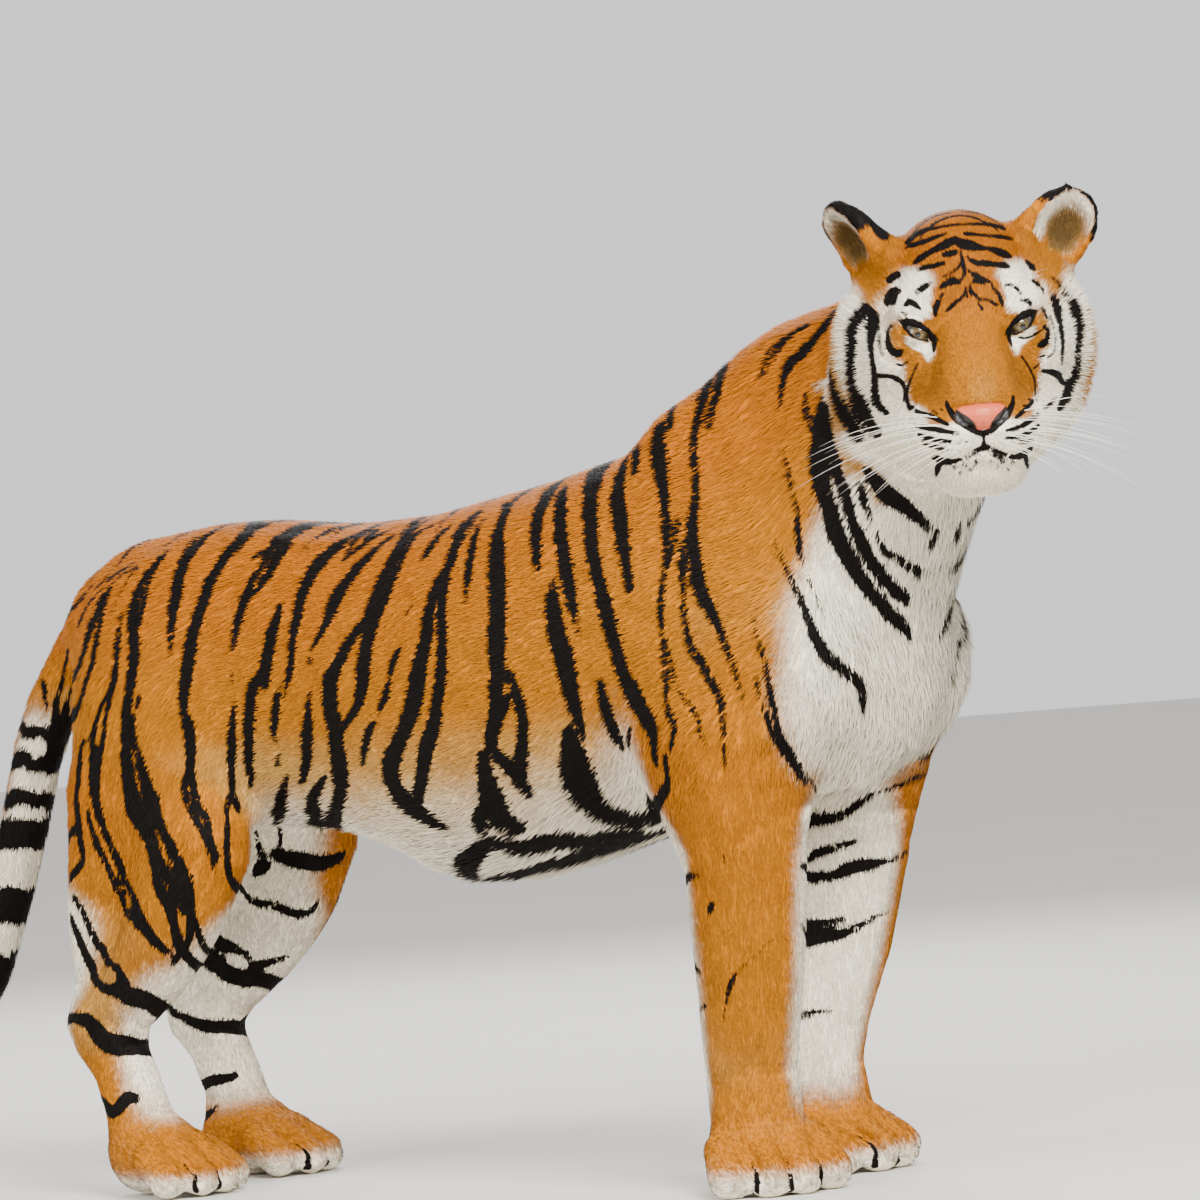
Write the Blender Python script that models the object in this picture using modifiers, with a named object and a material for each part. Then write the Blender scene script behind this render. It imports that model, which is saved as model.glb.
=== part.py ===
"""A standing Bengal tiger, head turned to its right: the solids of its body, in metres.

+X is forward, +Y is the animal's left and +Z is up. The body is modelled whole, as rounded masses of bone,
muscle and coat that flow into each other, and is then parted with thin cuts into the parts a person names.
"""

import copy
import math

import bmesh
import bpy
import numpy as np
from mathutils import Matrix, Vector
from mathutils.bvhtree import BVHTree

# Driving dimensions, in metres.
CUT = 0.0004  # width of the thin cuts between parts
VOXEL = 0.006  # cell of the remesh that joins the masses
TRIANGLES = 5450  # what the whole body keeps before it is parted
FINE_SHARE = 0.93  # how readily the head and paws give up faces, against 1 for the rest
REACH = 0.08  # how far beyond its masses a region can have any effect
WIDEST_AT = 0.52  # share of the barrel's height at which it is widest
SQUARENESS = 2.2  # how boxy the barrel's section is, where 2 is an ellipse
FINE_HEAD = 0.20  # how far from the middle of the head the faces are kept fine
FINE_FOOT = 0.09  # and up to which height the paws are

# The head's own frame: its origin lies between the eyes, u is forward, v left and w up.
HEAD_AT = Vector((0.650, -0.122, 0.994))
HEAD_YAW = math.radians(-52.5)
HEAD_PITCH = math.radians(12.0)
EYE_AT = (0.0110, 0.0575, -0.004)
EYE_RADIUS = 0.0185
NOSE_AT = (0.106, 0.0, -0.089)
NOSE_SIZE = (0.019, 0.033, 0.018)
EARS = ((-1, -60, 34), (1, 8, 44))  # side, how far its opening swings round, how far it leans out

# The middle of each paw's pads on the floor, and where it points, in degrees to the left.
FOREPAW_RIGHT = ((0.272, -0.118), -38)
FOREPAW_LEFT = ((0.224, 0.098), -2)
HINDPAW_RIGHT = ((-0.674, -0.115), -8)
HINDPAW_LEFT = ((-0.702, 0.112), 6)

# Plain colours for telling the parts apart.
COAT = (0.80, 0.42, 0.13)
COLOURS = {
    "jaw": (0.93, 0.88, 0.78),
    "tail_tip": (0.05, 0.04, 0.04),
    "eye_left": (0.55, 0.40, 0.12),
    "eye_right": (0.55, 0.40, 0.12),
    "nose": (0.72, 0.38, 0.32),
}


# ---------------------------------------------------------------- masses and how they blend


def ball(around=20, up=12):
    """Points and faces of a unit sphere with its poles on Z."""
    shape = bmesh.new()
    bmesh.ops.create_uvsphere(shape, u_segments=around, v_segments=up, radius=1.0)
    points = np.array([vert.co[:] for vert in shape.verts])
    faces = [tuple(vert.index for vert in face.verts) for face in shape.faces]
    shape.free()
    return points, faces


class Lump:
    """An ellipsoid with its half sizes along its own axes, tipped nose down by pitch and turned left by yaw."""

    def __init__(self, centre, radii, pitch=0.0, yaw=0.0, roll=0.0):
        self.centre = np.array(centre, float)
        self.radii = np.array(radii, float)
        turn = Matrix.Rotation(math.radians(yaw), 3, "Z")
        turn @= Matrix.Rotation(math.radians(pitch), 3, "Y")
        turn @= Matrix.Rotation(math.radians(roll), 3, "X")
        self.axes = np.array(turn)

    def distance(self, points):
        local = (points - self.centre) @ self.axes
        near = np.linalg.norm(local / self.radii, axis=1)
        slope = np.linalg.norm(local / self.radii**2, axis=1)
        return near * (near - 1) / np.maximum(slope, 1e-6)

    def placed(self, frame):
        """The same lump carried from a local frame into the body's."""
        moved = Lump((0, 0, 0), self.radii)
        turn = np.array(frame.to_3x3())
        moved.centre = np.array(frame @ Vector(self.centre))
        moved.axes = turn @ self.axes
        return moved

    def shells(self):
        points, faces = ball(28, 18)
        return [((points * self.radii) @ self.axes.T + self.centre, faces)]


class Bar:
    """A round bar from one end to the other, tapering, and squashed along the direction across by flat."""

    def __init__(self, start, end, radii, flat=1.0, across=(0, 1, 0)):
        self.start, self.end = np.array(start, float), np.array(end, float)
        self.radii = radii
        self.flat = flat
        self.across = np.array(across, float) / np.linalg.norm(across)

    def distance(self, points):
        along = self.end - self.start
        share = np.clip((points - self.start) @ along / (along @ along), 0, 1)[:, None]
        off = points - self.start - share * along
        side = off @ self.across
        off = off + np.outer(side / self.flat - side, self.across)
        radius = self.radii[0] + (self.radii[1] - self.radii[0]) * share[:, 0]
        return np.linalg.norm(off, axis=1) - radius

    def placed(self, frame):
        turn = frame.to_3x3()
        ends = frame @ Vector(self.start), frame @ Vector(self.end)
        return Bar(*ends, self.radii, self.flat, turn @ Vector(self.across))

    def shells(self):
        """A sphere whose lower half sits at one end of the bar and upper half at the other."""
        points, faces = ball()
        turn = np.array(Vector(self.end - self.start).to_track_quat("Z", "Y").to_matrix())
        upper = points[:, 2:] > -1e-6
        radii = np.where(upper, self.radii[1], self.radii[0])
        out = (points * radii) @ turn.T
        out += np.outer(out @ self.across * (self.flat - 1), self.across)
        return [(out + np.where(upper, self.end, self.start), faces)]


def hermite(start, end, leaving, arriving, t):
    """The smooth curve from start to end with those slopes, at t from 0 to 1."""
    ends = (2 * t**3 - 3 * t**2 + 1) * start + (3 * t**2 - 2 * t**3) * end
    return ends + (t**3 - 2 * t**2 + t) * leaving + (t**3 - t**2) * arriving


def curve(points, steps):
    """Points along a smooth curve through the given rows, with so many steps to each span."""
    rows = np.array(points, float)
    slope = np.gradient(rows, axis=0)
    slope[0], slope[-1] = rows[1] - rows[0], rows[-1] - rows[-2]
    t = (np.arange(steps) / steps)[:, None]
    spans = [hermite(*span, t) for span in zip(rows, rows[1:], slope, slope[1:])]
    return np.concatenate([*spans, rows[-1:]])


class Tube:
    """A round limb through the points, with a radius at each, squashed along the direction across by flat."""

    def __init__(self, points, radii, flat=1.0, across=(0, 1, 0), steps=4):
        rows = curve(np.column_stack([points, radii]), steps)
        ends = zip(rows, rows[1:])
        self.bars = [Bar(a[:3], b[:3], (a[3], b[3]), flat, across) for a, b in ends]

    def distance(self, points):
        return np.min([bar.distance(points) for bar in self.bars], axis=0)

    def placed(self, frame):
        moved = copy.copy(self)
        moved.bars = [bar.placed(frame) for bar in self.bars]
        return moved

    def shells(self):
        return [shell for bar in self.bars for shell in bar.shells()]


class Torso:
    """A barrel along X whose top, bottom and half width follow stations from rump to chest."""

    def __init__(self, stations):
        table = np.array(stations, float)
        self.at, self.rows = table[:, 0], table[:, 1:]
        self.slopes = np.gradient(self.rows, self.at, axis=0)

    def section(self, x):
        """Top, bottom and half width at x, on a smooth curve through the stations."""
        x = np.clip(x, self.at[0], self.at[-1])
        i = np.clip(np.searchsorted(self.at, x) - 1, 0, len(self.at) - 2)
        gap = self.at[i + 1] - self.at[i]
        t = ((x - self.at[i]) / gap)[:, None]
        start, end = self.rows[i], self.rows[i + 1]
        rise, fall = self.slopes[i] * gap[:, None], self.slopes[i + 1] * gap[:, None]
        return hermite(start, end, rise, fall, t).T

    def distance(self, points):
        x, y, z = points.T
        top, bottom, half = self.section(x)
        middle = bottom + (top - bottom) * WIDEST_AT
        tall = np.where(z > middle, top - middle, middle - bottom)
        spread = (np.abs(y) / half) ** SQUARENESS + (np.abs(z - middle) / tall) ** SQUARENESS
        spread **= 1 / SQUARENESS
        around = (spread - 1) * np.minimum(half, tall)
        beyond = np.maximum(self.at[0] - x, x - self.at[-1])
        return np.maximum(around, beyond)

    def shells(self):
        points, faces = ball(48, 60)
        x = self.at[0] + (self.at[-1] - self.at[0]) * (points[:, 2] + 1) / 2
        top, bottom, half = self.section(x)
        middle = bottom + (top - bottom) * WIDEST_AT
        across = np.hypot(points[:, 0], points[:, 1])
        blunt = np.minimum(1.0, across * 2.5) / np.maximum(across, 1e-6)
        y, z = points[:, 1] * half * blunt, -points[:, 0] * blunt
        tall = np.where(z > 0, top - middle, middle - bottom)
        return [(np.column_stack([x, y, middle + z * tall]), faces)]


def flow(first, second, width):
    """The two distances blended so that the forms run into each other over about this width."""
    share = np.clip(0.5 + 0.5 * (second - first) / width, 0, 1)
    return second + (first - second) * share - width * share * (1 - share)


class Region:
    """Masses that belong together, hollows carved from them, and how softly each blends."""

    def __init__(self, masses, blend, joins, hollows=(), hollow_blend=0.004):
        self.masses, self.blend, self.joins = masses, blend, joins
        self.hollows, self.hollow_blend = hollows, hollow_blend
        self.shells = [shell for mass in masses for shell in mass.shells()]
        reach = np.concatenate([points for points, _ in self.shells])
        self.low, self.high = reach.min(axis=0) - REACH, reach.max(axis=0) + REACH

    def distance(self, points):
        found = np.full(len(points), REACH)
        near = np.all((points > self.low) & (points < self.high), axis=1)
        here = points[near]
        if len(here) == 0:
            return found
        total = self.masses[0].distance(here)
        for mass in self.masses[1:]:
            total = flow(total, mass.distance(here), self.blend)
        for hollow in self.hollows:
            total = -flow(-total, hollow.distance(here), self.hollow_blend)
        found[near] = total
        return found


def body_distance(regions, points):
    total = regions[0].distance(points)
    for region in regions[1:]:
        total = flow(total, region.distance(points), region.joins)
    return total


# ---------------------------------------------------------------- the parts of the animal


def trunk_region():
    """Barrel from the hips to the chest, with the haunches' top, the withers and the brisket."""
    barrel = Torso(
        (  # x, top, bottom, half width
            (-0.80, 0.800, 0.640, 0.070),
            (-0.72, 0.846, 0.540, 0.110),
            (-0.62, 0.864, 0.490, 0.138),
            (-0.52, 0.864, 0.462, 0.148),
            (-0.42, 0.853, 0.451, 0.148),
            (-0.32, 0.846, 0.420, 0.160),
            (-0.22, 0.850, 0.380, 0.176),
            (-0.12, 0.862, 0.378, 0.188),
            (0.00, 0.880, 0.402, 0.194),
            (0.10, 0.900, 0.428, 0.188),
            (0.20, 0.918, 0.452, 0.172),
            (0.30, 0.925, 0.475, 0.150),
            (0.38, 0.880, 0.505, 0.120),
        )
    )
    masses = [
        barrel,
        Lump((-0.74, 0, 0.735), (0.115, 0.105, 0.095), pitch=-20),
        Lump((0.345, 0, 0.614), (0.127, 0.115, 0.126), pitch=20),
        Lump((0.210, 0, 0.842), (0.120, 0.080, 0.094), pitch=-22),
    ]
    for side in (-1, 1):
        blade = (0.215, side * 0.074, 0.865)
        shoulder = (0.335, side * 0.125, 0.640)
        elbow = (0.245, side * 0.128, 0.500)
        masses += [
            Bar(blade, shoulder, (0.072, 0.080), 0.72),
            Lump((0.365, side * 0.108, 0.630), (0.090, 0.068, 0.105)),
            Bar((0.330, side * 0.125, 0.610), elbow, (0.098, 0.082), 0.66),
            Lump((0.205, side * 0.122, 0.640), (0.090, 0.062, 0.145), pitch=-12),
        ]
    return Region(masses, 0.05, 0.0)


def neck_region():
    """A deep neck that rises from the withers and turns a little to the right, with the throat's loose skin."""
    crest = ((0.200, 0, 0.842), (0.310, 0, 0.922), (0.450, 0.002, 0.964))
    core = ((0.280, 0, 0.740), (0.400, 0, 0.830), (0.510, -0.015, 0.930))
    throat = ((0.355, 0, 0.600), (0.405, -0.004, 0.700), (0.470, -0.020, 0.820))
    masses = [
        Tube(crest, (0.084, 0.102, 0.096), 0.92),
        Tube(core, (0.140, 0.138, 0.112), 0.96),
        Tube(throat, (0.110, 0.104, 0.090)),
    ]
    return Region(masses, 0.04, 0.05)


def head_frame():
    turn = Matrix.Rotation(HEAD_YAW, 4, "Z") @ Matrix.Rotation(HEAD_PITCH, 4, "Y")
    return Matrix.Translation(HEAD_AT) @ turn


def mirrored(make):
    """What make(side) gives for the right side, -1, and the left, 1."""
    return [mass for side in (-1, 1) for mass in make(side)]


def skull_masses():
    middle = [
        Lump((-0.088, 0, 0.036), (0.100, 0.082, 0.086)),
        Lump((-0.030, 0, 0.034), (0.052, 0.062, 0.052), pitch=30),
        Tube(((-0.012, 0, 0.004), (0.032, 0, -0.026), (0.080, 0, -0.068)), (0.038, 0.034, 0.030), 1.28),
        Bar((0.016, 0, -0.076), (0.066, 0, -0.102), (0.060, 0.046), 1.0),
        Lump((0.098, 0, -0.094), (0.022, 0.034, 0.022)),
        Lump((0.060, 0, -0.158), (0.038, 0.045, 0.030), pitch=-8),
        Lump((-0.040, 0, -0.112), (0.094, 0.074, 0.062), pitch=10),
        Lump((-0.150, 0, -0.030), (0.090, 0.108, 0.108)),
    ]

    def sides(side):
        return [
            Lump((-0.006, side * 0.050, 0.026), (0.027, 0.038, 0.018), pitch=18),
            Lump((-0.044, side * 0.082, -0.036), (0.058, 0.038, 0.050)),
            Lump((-0.010, side * 0.050, -0.056), (0.046, 0.036, 0.048), pitch=20),
            Lump((-0.082, side * 0.103, -0.032), (0.050, 0.050, 0.086), roll=side * 6),
            Lump((-0.078, side * 0.088, -0.094), (0.048, 0.044, 0.056), roll=side * 20),
            Lump((-0.050, side * 0.066, -0.108), (0.064, 0.044, 0.050)),
            Lump((0.056, side * 0.038, -0.110), (0.044, 0.040, 0.036), pitch=8),
            Lump((0.084, side * 0.024, -0.119), (0.024, 0.026, 0.024)),
            Bar((-0.040, side * 0.050, -0.138), (0.050, side * 0.024, -0.156), (0.036, 0.028)),
            Lump((-0.004, side * 0.058, -0.004), (0.021, 0.029, 0.023)),
        ]

    return middle + mirrored(sides)


def head_region():
    frame = head_frame()
    return Region([mass.placed(frame) for mass in skull_masses()], 0.024, 0.05)


def ear_region(side, turn, lean):
    """One rounded, cupped ear. turn swings its opening away from straight ahead and lean tips it outwards."""
    frame = ear_frame(side, turn, lean)
    shell = Lump((0.0, 0, 0.028), (0.024, 0.044, 0.055)).placed(frame)
    root = Lump((-0.006, 0, -0.014), (0.030, 0.044, 0.040)).placed(frame)
    cup = Lump((0.026, 0, 0.036), (0.026, 0.036, 0.046)).placed(frame)
    return Region([shell, root], 0.02, 0.02, [cup], 0.008)


def paw_masses(at, heading, width, long):
    """A broad foot with four toes; at is the middle of the pads on the floor."""
    frame = Matrix.Translation((at[0], at[1], 0)) @ Matrix.Rotation(math.radians(heading), 4, "Z")
    masses = [
        Lump((-0.26 * long, 0, 0.046), (0.34 * long, 0.36 * width, 0.046)),
        Lump((-0.05 * long, 0, 0.050), (0.30 * long, 0.42 * width, 0.040), pitch=14),
    ]
    toes = []
    for step, reach in ((-1.5, 0.20), (-0.5, 0.34), (0.5, 0.34), (1.5, 0.20)):
        side = step * 0.245 * width
        fan = math.radians(step * 7)
        knuckle = (reach * long - 0.030, side * 0.96, 0.052)
        tip = (reach * long + 0.012 * math.cos(fan), side * 1.06 + 0.012 * math.sin(fan), 0.024)
        radii = (0.150 * width + 0.004, 0.158 * width + 0.004)
        toes.append(Bar(knuckle, tip, radii))
    return [m.placed(frame) for m in masses], [m.placed(frame) for m in toes]


def foreleg_regions(side, paw_at, heading):
    """Elbow to paw: a thick forearm, a slight wrist and a wide foot."""
    x_paw, y_paw = paw_at
    y_top = side * 0.128
    line = (
        (0.280, y_top, 0.540),
        (0.165 + 0.43 * x_paw, y_top, 0.420),
        (0.055 + 0.80 * x_paw, side * 0.122, 0.290),
        (x_paw - 0.014, y_paw - side * 0.002, 0.160),
        (x_paw - 0.010, y_paw, 0.075),
    )
    leg = Tube(line, (0.098, 0.078, 0.069, 0.058, 0.056), 0.92)
    elbow = Bar((0.220, y_top, 0.530), (0.240, y_top, 0.420), (0.048, 0.046), 0.85)
    foot, toes = paw_masses(paw_at, heading, 0.150, 0.185)
    return [Region([leg, elbow, *foot], 0.02, 0.045), Region(toes, 0.004, 0.012)]


def hindleg_regions(side, paw_at, heading):
    """Haunch, thigh, shank down to the point of the hock, and the long foot."""
    x_paw, y_paw = paw_at
    knee = x_paw + 0.090
    y_knee, y_hock = side * 0.126, side * 0.112
    hock = (x_paw - 0.108, y_hock, 0.222)
    calf = (knee - 0.110, side * 0.120, 0.290)
    shank = ((knee, y_knee, 0.450), (knee - 0.040, y_knee, 0.375), calf, hock)
    hamstring = ((-0.730, side * 0.106, 0.510), (-0.773, side * 0.110, 0.360), hock)
    foot_line = (hock, (x_paw - 0.070, y_paw, 0.150), (x_paw - 0.048, y_paw, 0.075))
    masses = [
        Lump((-0.640, side * 0.082, 0.630), (0.145, 0.082, 0.185), pitch=-8),
        Lump((-0.695, side * 0.094, 0.560), (0.105, 0.070, 0.180), pitch=-4),
        Bar((-0.650, side * 0.096, 0.610), (knee - 0.002, side * 0.122, 0.450), (0.120, 0.068), 0.64),
        Tube(shank, (0.072, 0.070, 0.056, 0.042), 0.80),
        Tube(hamstring, (0.080, 0.052, 0.038), 0.66),
        Tube(foot_line, (0.042, 0.042, 0.044), 0.95),
    ]
    foot, toes = paw_masses(paw_at, heading, 0.132, 0.175)
    return [Region(masses + foot, 0.03, 0.045), Region(toes, 0.004, 0.012)]


def tail_region():
    """Hangs close behind the haunches, then lifts clear of the floor towards its blunt tip."""
    line = (
        (-0.740, 0, 0.768),
        (-0.822, 0, 0.736),
        (-0.893, 0, 0.684),
        (-0.955, 0, 0.610),
        (-0.998, 0, 0.500),
        (-1.045, 0, 0.385),
        (-1.105, 0, 0.270),
        (-1.190, 0, 0.185),
        (-1.290, 0, 0.170),
        (-1.365, 0, 0.225),
    )
    radii = (0.066, 0.056, 0.044, 0.036, 0.034, 0.033, 0.032, 0.031, 0.029, 0.023)
    return Region([Tube(line, radii)], 0.02, 0.04)


def body_regions():
    regions = [trunk_region(), neck_region(), head_region()]
    regions += [ear_region(*ear) for ear in EARS]
    regions += foreleg_regions(-1, *FOREPAW_RIGHT)
    regions += foreleg_regions(1, *FOREPAW_LEFT)
    regions += hindleg_regions(-1, *HINDPAW_RIGHT)
    regions += hindleg_regions(1, *HINDPAW_LEFT)
    return regions + [tail_region()]


# ---------------------------------------------------------------- from masses to one smooth body


def object_from(shape, name, collection):
    mesh = bpy.data.meshes.new(name)
    shape.to_mesh(mesh)
    shape.free()
    thing = bpy.data.objects.new(name, mesh)
    collection.objects.link(thing)
    return thing


def apply_modifiers(thing):
    graph = bpy.context.evaluated_depsgraph_get()
    mesh = bpy.data.meshes.new_from_object(thing.evaluated_get(graph))
    thing.modifiers.clear()
    thing.data = mesh


def remesh(thing, cell):
    step = thing.modifiers.new("even cells", "REMESH")
    step.mode, step.voxel_size = "VOXEL", cell
    apply_modifiers(thing)


def links(mesh):
    """The two ends of every edge."""
    edges = np.empty(len(mesh.edges) * 2, np.int32)
    mesh.edges.foreach_get("vertices", edges)
    return edges.reshape(-1, 2).T


def keep_outside(thing):
    """Drops every closed shell but the outermost, which is the one that reaches furthest forward."""
    a, b = links(thing.data)
    kept = np.zeros(len(thing.data.vertices), bool)
    kept[positions(thing.data)[:, 0].argmax()] = True
    while True:
        crossing = kept[a] != kept[b]
        if not crossing.any():
            break
        kept[a[crossing]] = kept[b[crossing]] = True
    shape = bmesh.new()
    shape.from_mesh(thing.data)
    inner = [vert for vert in shape.verts if not kept[vert.index]]
    bmesh.ops.delete(shape, geom=inner, context="VERTS")
    shape.to_mesh(thing.data)
    shape.free()


def joined_masses(regions, collection):
    """All the masses as one closed surface of even cells."""
    points, faces, start = [], [], 0
    for region in regions:
        for shell, sides in region.shells:
            points.append(shell)
            faces += [tuple(start + corner for corner in side) for side in sides]
            start += len(shell)
    mesh = bpy.data.meshes.new("body")
    mesh.from_pydata(np.concatenate(points).tolist(), [], faces)
    body = bpy.data.objects.new("body", mesh)
    collection.objects.link(body)
    remesh(body, VOXEL)
    keep_outside(body)
    return body


def positions(mesh):
    found = np.empty(len(mesh.vertices) * 3, np.float32)
    mesh.vertices.foreach_get("co", found)
    return found.reshape(-1, 3).astype(float)


def normals(mesh):
    found = np.empty(len(mesh.vertices) * 3, np.float32)
    mesh.vertices.foreach_get("normal", found)
    return found.reshape(-1, 3).astype(float)


def relax(mesh, rounds):
    """Evens out the cells: each point moves halfway to the mean of its neighbours."""
    a, b = links(mesh)
    count = np.bincount(np.concatenate([a, b]), minlength=len(mesh.vertices))[:, None]
    points = positions(mesh)
    for _ in range(rounds):
        total = np.zeros_like(points)
        for axis in range(3):
            total[:, axis] = np.bincount(a, points[b, axis], len(points))
            total[:, axis] += np.bincount(b, points[a, axis], len(points))
        points = (points + total / count) / 2
    mesh.vertices.foreach_set("co", points.astype(np.float32).ravel())
    mesh.update()


def settle(mesh, regions, rounds=5, step=0.0008):
    """Moves each point along its normal until it lies on the blended form."""
    for turn in range(rounds):
        points, out = positions(mesh), normals(mesh)
        here = body_distance(regions, points)
        slope = (body_distance(regions, points + out * step) - here) / step
        move = np.clip(-here / np.maximum(slope, 0.35), -0.012, 0.012)
        points += out * move[:, None]
        mesh.vertices.foreach_set("co", points.astype(np.float32).ravel())
        mesh.update()
        if turn < rounds - 1:
            relax(mesh, 2)


def whole_body(collection):
    """The body in one piece: joined, settled on the blended form, thinned out, and flat where it stands."""
    regions = body_regions()
    body = joined_masses(regions, collection)
    settle(body.data, regions, rounds=4)
    remesh(body, VOXEL)
    keep_outside(body)
    settle(body.data, regions, rounds=3)
    points = positions(body.data)
    fine = np.linalg.norm(points - np.array(HEAD_AT), axis=1) < FINE_HEAD
    fine |= points[:, 2] < FINE_FOOT
    weights = body.vertex_groups.new(name="thinning")
    for share, rows in ((1.0, ~fine), (FINE_SHARE, fine)):
        weights.add([int(row) for row in np.flatnonzero(rows)], share, "REPLACE")
    thin = body.modifiers.new("fewer faces", "DECIMATE")
    thin.ratio = TRIANGLES / sum(len(face.vertices) - 2 for face in body.data.polygons)
    thin.vertex_group = "thinning"
    thin.use_collapse_triangulate = True
    apply_modifiers(body)
    return body


# ---------------------------------------------------------------- the cuts that part it


def slab(centre, normal, along, wide, deep, frame=Matrix()):
    """A thin plate that cuts across the body: so wide in the direction along and so deep across it."""
    up = Vector(normal).normalized()
    out = (Vector(along) - up * up.dot(Vector(along))).normalized()
    turn = Matrix((out, up.cross(out), up)).transposed().to_4x4()
    return frame @ Matrix.Translation(centre) @ turn @ Matrix.Diagonal((wide, deep, CUT, 1.0))


def leg_slabs(side):
    """The planes that part one foreleg and one hind leg, and the joints along them."""
    return [
        slab((0.270, side * 0.130, 0.457), (-0.30, -side * 0.27, 1), (1, 0, 0.3), 0.34, 0.268),
        slab((0.260, side * 0.130, 0.125), (0, 0, 1), (1, 0, 0), 0.32, 0.25),
        slab((-0.630, side * 0.130, 0.540), (0.34, -side * 0.35, 1), (1, 0, -0.34), 0.52, 0.275),
        slab((-0.690, side * 0.130, 0.393), (0.35, 0, 0.94), (0.94, 0, -0.35), 0.44, 0.25),
        slab((-0.745, side * 0.130, 0.180), (0, 0, 1), (1, 0, 0), 0.24, 0.25),
    ]


def ear_frame(side, turn, lean):
    """The frame of one ear, at its root: X out of its opening and Z up along it."""
    root = head_frame() @ Matrix.Translation((-0.088, side * 0.100, 0.072))
    leaning = Matrix.Rotation(math.radians(-side * lean), 4, "X")
    return root @ leaning @ Matrix.Rotation(math.radians(turn), 4, "Z")


def all_slabs():
    head = head_frame()
    plates = leg_slabs(-1) + leg_slabs(1)
    plates += [
        slab((0.340, 0, 0.7755), (0.826, 0, 0.565), (0, 1, 0), 0.60, 0.74),
        slab((-0.120, 0, -0.040), (0.933, 0, 0.359), (0, 1, 0), 0.44, 0.44, head),
        slab((-0.640, 0, 0.402), (0, 1, 0), (1, 0, -0.34), 0.50, 0.21),
        slab((-0.905, 0, 0.674), (0.75, 0, 0.66), (0, 1, 0), 0.16, 0.12),
        slab((-0.985, 0, 0.535), (0.36, 0, 0.93), (0, 1, 0), 0.12, 0.12),
        slab((-1.105, 0, 0.270), (0.50, 0, 0.87), (0, 1, 0), 0.12, 0.12),
        slab((0.055, 0, -0.145), (-0.35, 0, 1), (1, 0, 0.35), 0.160, 0.24, head),
        slab((-0.020, 0, -0.190), (1, 0, 0), (0, 1, 0), 0.24, 0.0402, head),
    ]
    for ear in EARS:
        plates.append(slab((0, 0, 0.004), (0, 0, 1), (1, 0, 0), 0.11, 0.12, ear_frame(*ear)))
    return plates


def eye_at(side):
    return (EYE_AT[0], side * EYE_AT[1], EYE_AT[2])


def cut_body(body, collection):
    """Takes the slabs, the eye sockets, the nose's seat and everything under the floor out of the body."""
    head = head_frame()
    cutters = []
    for number, matrix in enumerate(all_slabs()):
        shape = bmesh.new()
        bmesh.ops.create_cube(shape, size=1.0, matrix=matrix)
        cutters.append(object_from(shape, f"cut_{number}", collection))
    shape = bmesh.new()
    floor = Matrix.Translation((-0.3, 0, -0.05)) @ Matrix.Diagonal((3.0, 1.0, 0.1, 1.0))
    bmesh.ops.create_cube(shape, size=1.0, matrix=floor)
    cutters.append(object_from(shape, "cut_floor", collection))
    for side in (-1, 1):
        socket = Lump(eye_at(side), [EYE_RADIUS + CUT] * 3).placed(head)
        cutters.append(shell_object(socket, "cut_eye", collection))
    seat = Lump(NOSE_AT, [half + CUT for half in NOSE_SIZE]).placed(head)
    cutters.append(shell_object(seat, "cut_nose", collection))
    for cutter in cutters:
        step = body.modifiers.new("cut", "BOOLEAN")
        step.operation, step.solver, step.object = "DIFFERENCE", "EXACT", cutter
    apply_modifiers(body)
    for cutter in cutters:
        bpy.data.objects.remove(cutter)


def shell_object(mass, name, collection, around=14, up=9):
    points, faces = ball(around, up)
    return mesh_object((points * mass.radii) @ mass.axes.T + mass.centre, faces, name, collection)


def mesh_object(points, faces, name, collection):
    mesh = bpy.data.meshes.new(name)
    mesh.from_pydata(points.tolist(), [], faces)
    thing = bpy.data.objects.new(name, mesh)
    collection.objects.link(thing)
    return thing


# ---------------------------------------------------------------- naming the parts

# A point inside each part of the body tells its name. H marks points in the head's own frame.
INSIDE = {
    "trunk": (-0.200, 0, 0.650),
    "neck": (0.420, 0, 0.850),
    "head": ("H", -0.060, 0, 0.020),
    "jaw": ("H", 0.050, 0, -0.165),
    "tail_base": (-0.950, 0, 0.617),
    "tail_mid": (-1.045, 0, 0.385),
    "tail_tip": (-1.230, 0, 0.176),
    "foreleg_right": (0.276, -0.122, 0.290),
    "foreleg_left": (0.232, 0.122, 0.290),
    "forepaw_right": (0.260, -0.118, 0.060),
    "forepaw_left": (0.215, 0.098, 0.060),
    "thigh_right": (-0.660, -0.100, 0.480),
    "thigh_left": (-0.660, 0.100, 0.480),
    "shank_right": (-0.710, -0.118, 0.290),
    "shank_left": (-0.735, 0.118, 0.290),
    "hindpaw_right": (-0.710, -0.115, 0.060),
    "hindpaw_left": (-0.735, 0.112, 0.060),
}


def loose_parts(body):
    """The points and faces of each closed piece of the body."""
    a, b = links(body.data)
    label = np.arange(len(body.data.vertices))
    while not (label[a] == label[b]).all():
        low = np.minimum(label[a], label[b])
        np.minimum.at(label, a, low)
        np.minimum.at(label, b, low)
    points = positions(body.data)
    sides = [tuple(side.vertices) for side in body.data.polygons]
    found = []
    for one in np.unique(label):
        rows = np.flatnonzero(label == one)
        place = {int(row): number for number, row in enumerate(rows)}
        own = [tuple(place[v] for v in side) for side in sides if side[0] in place]
        found.append((points[rows], own))
    return found


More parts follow.
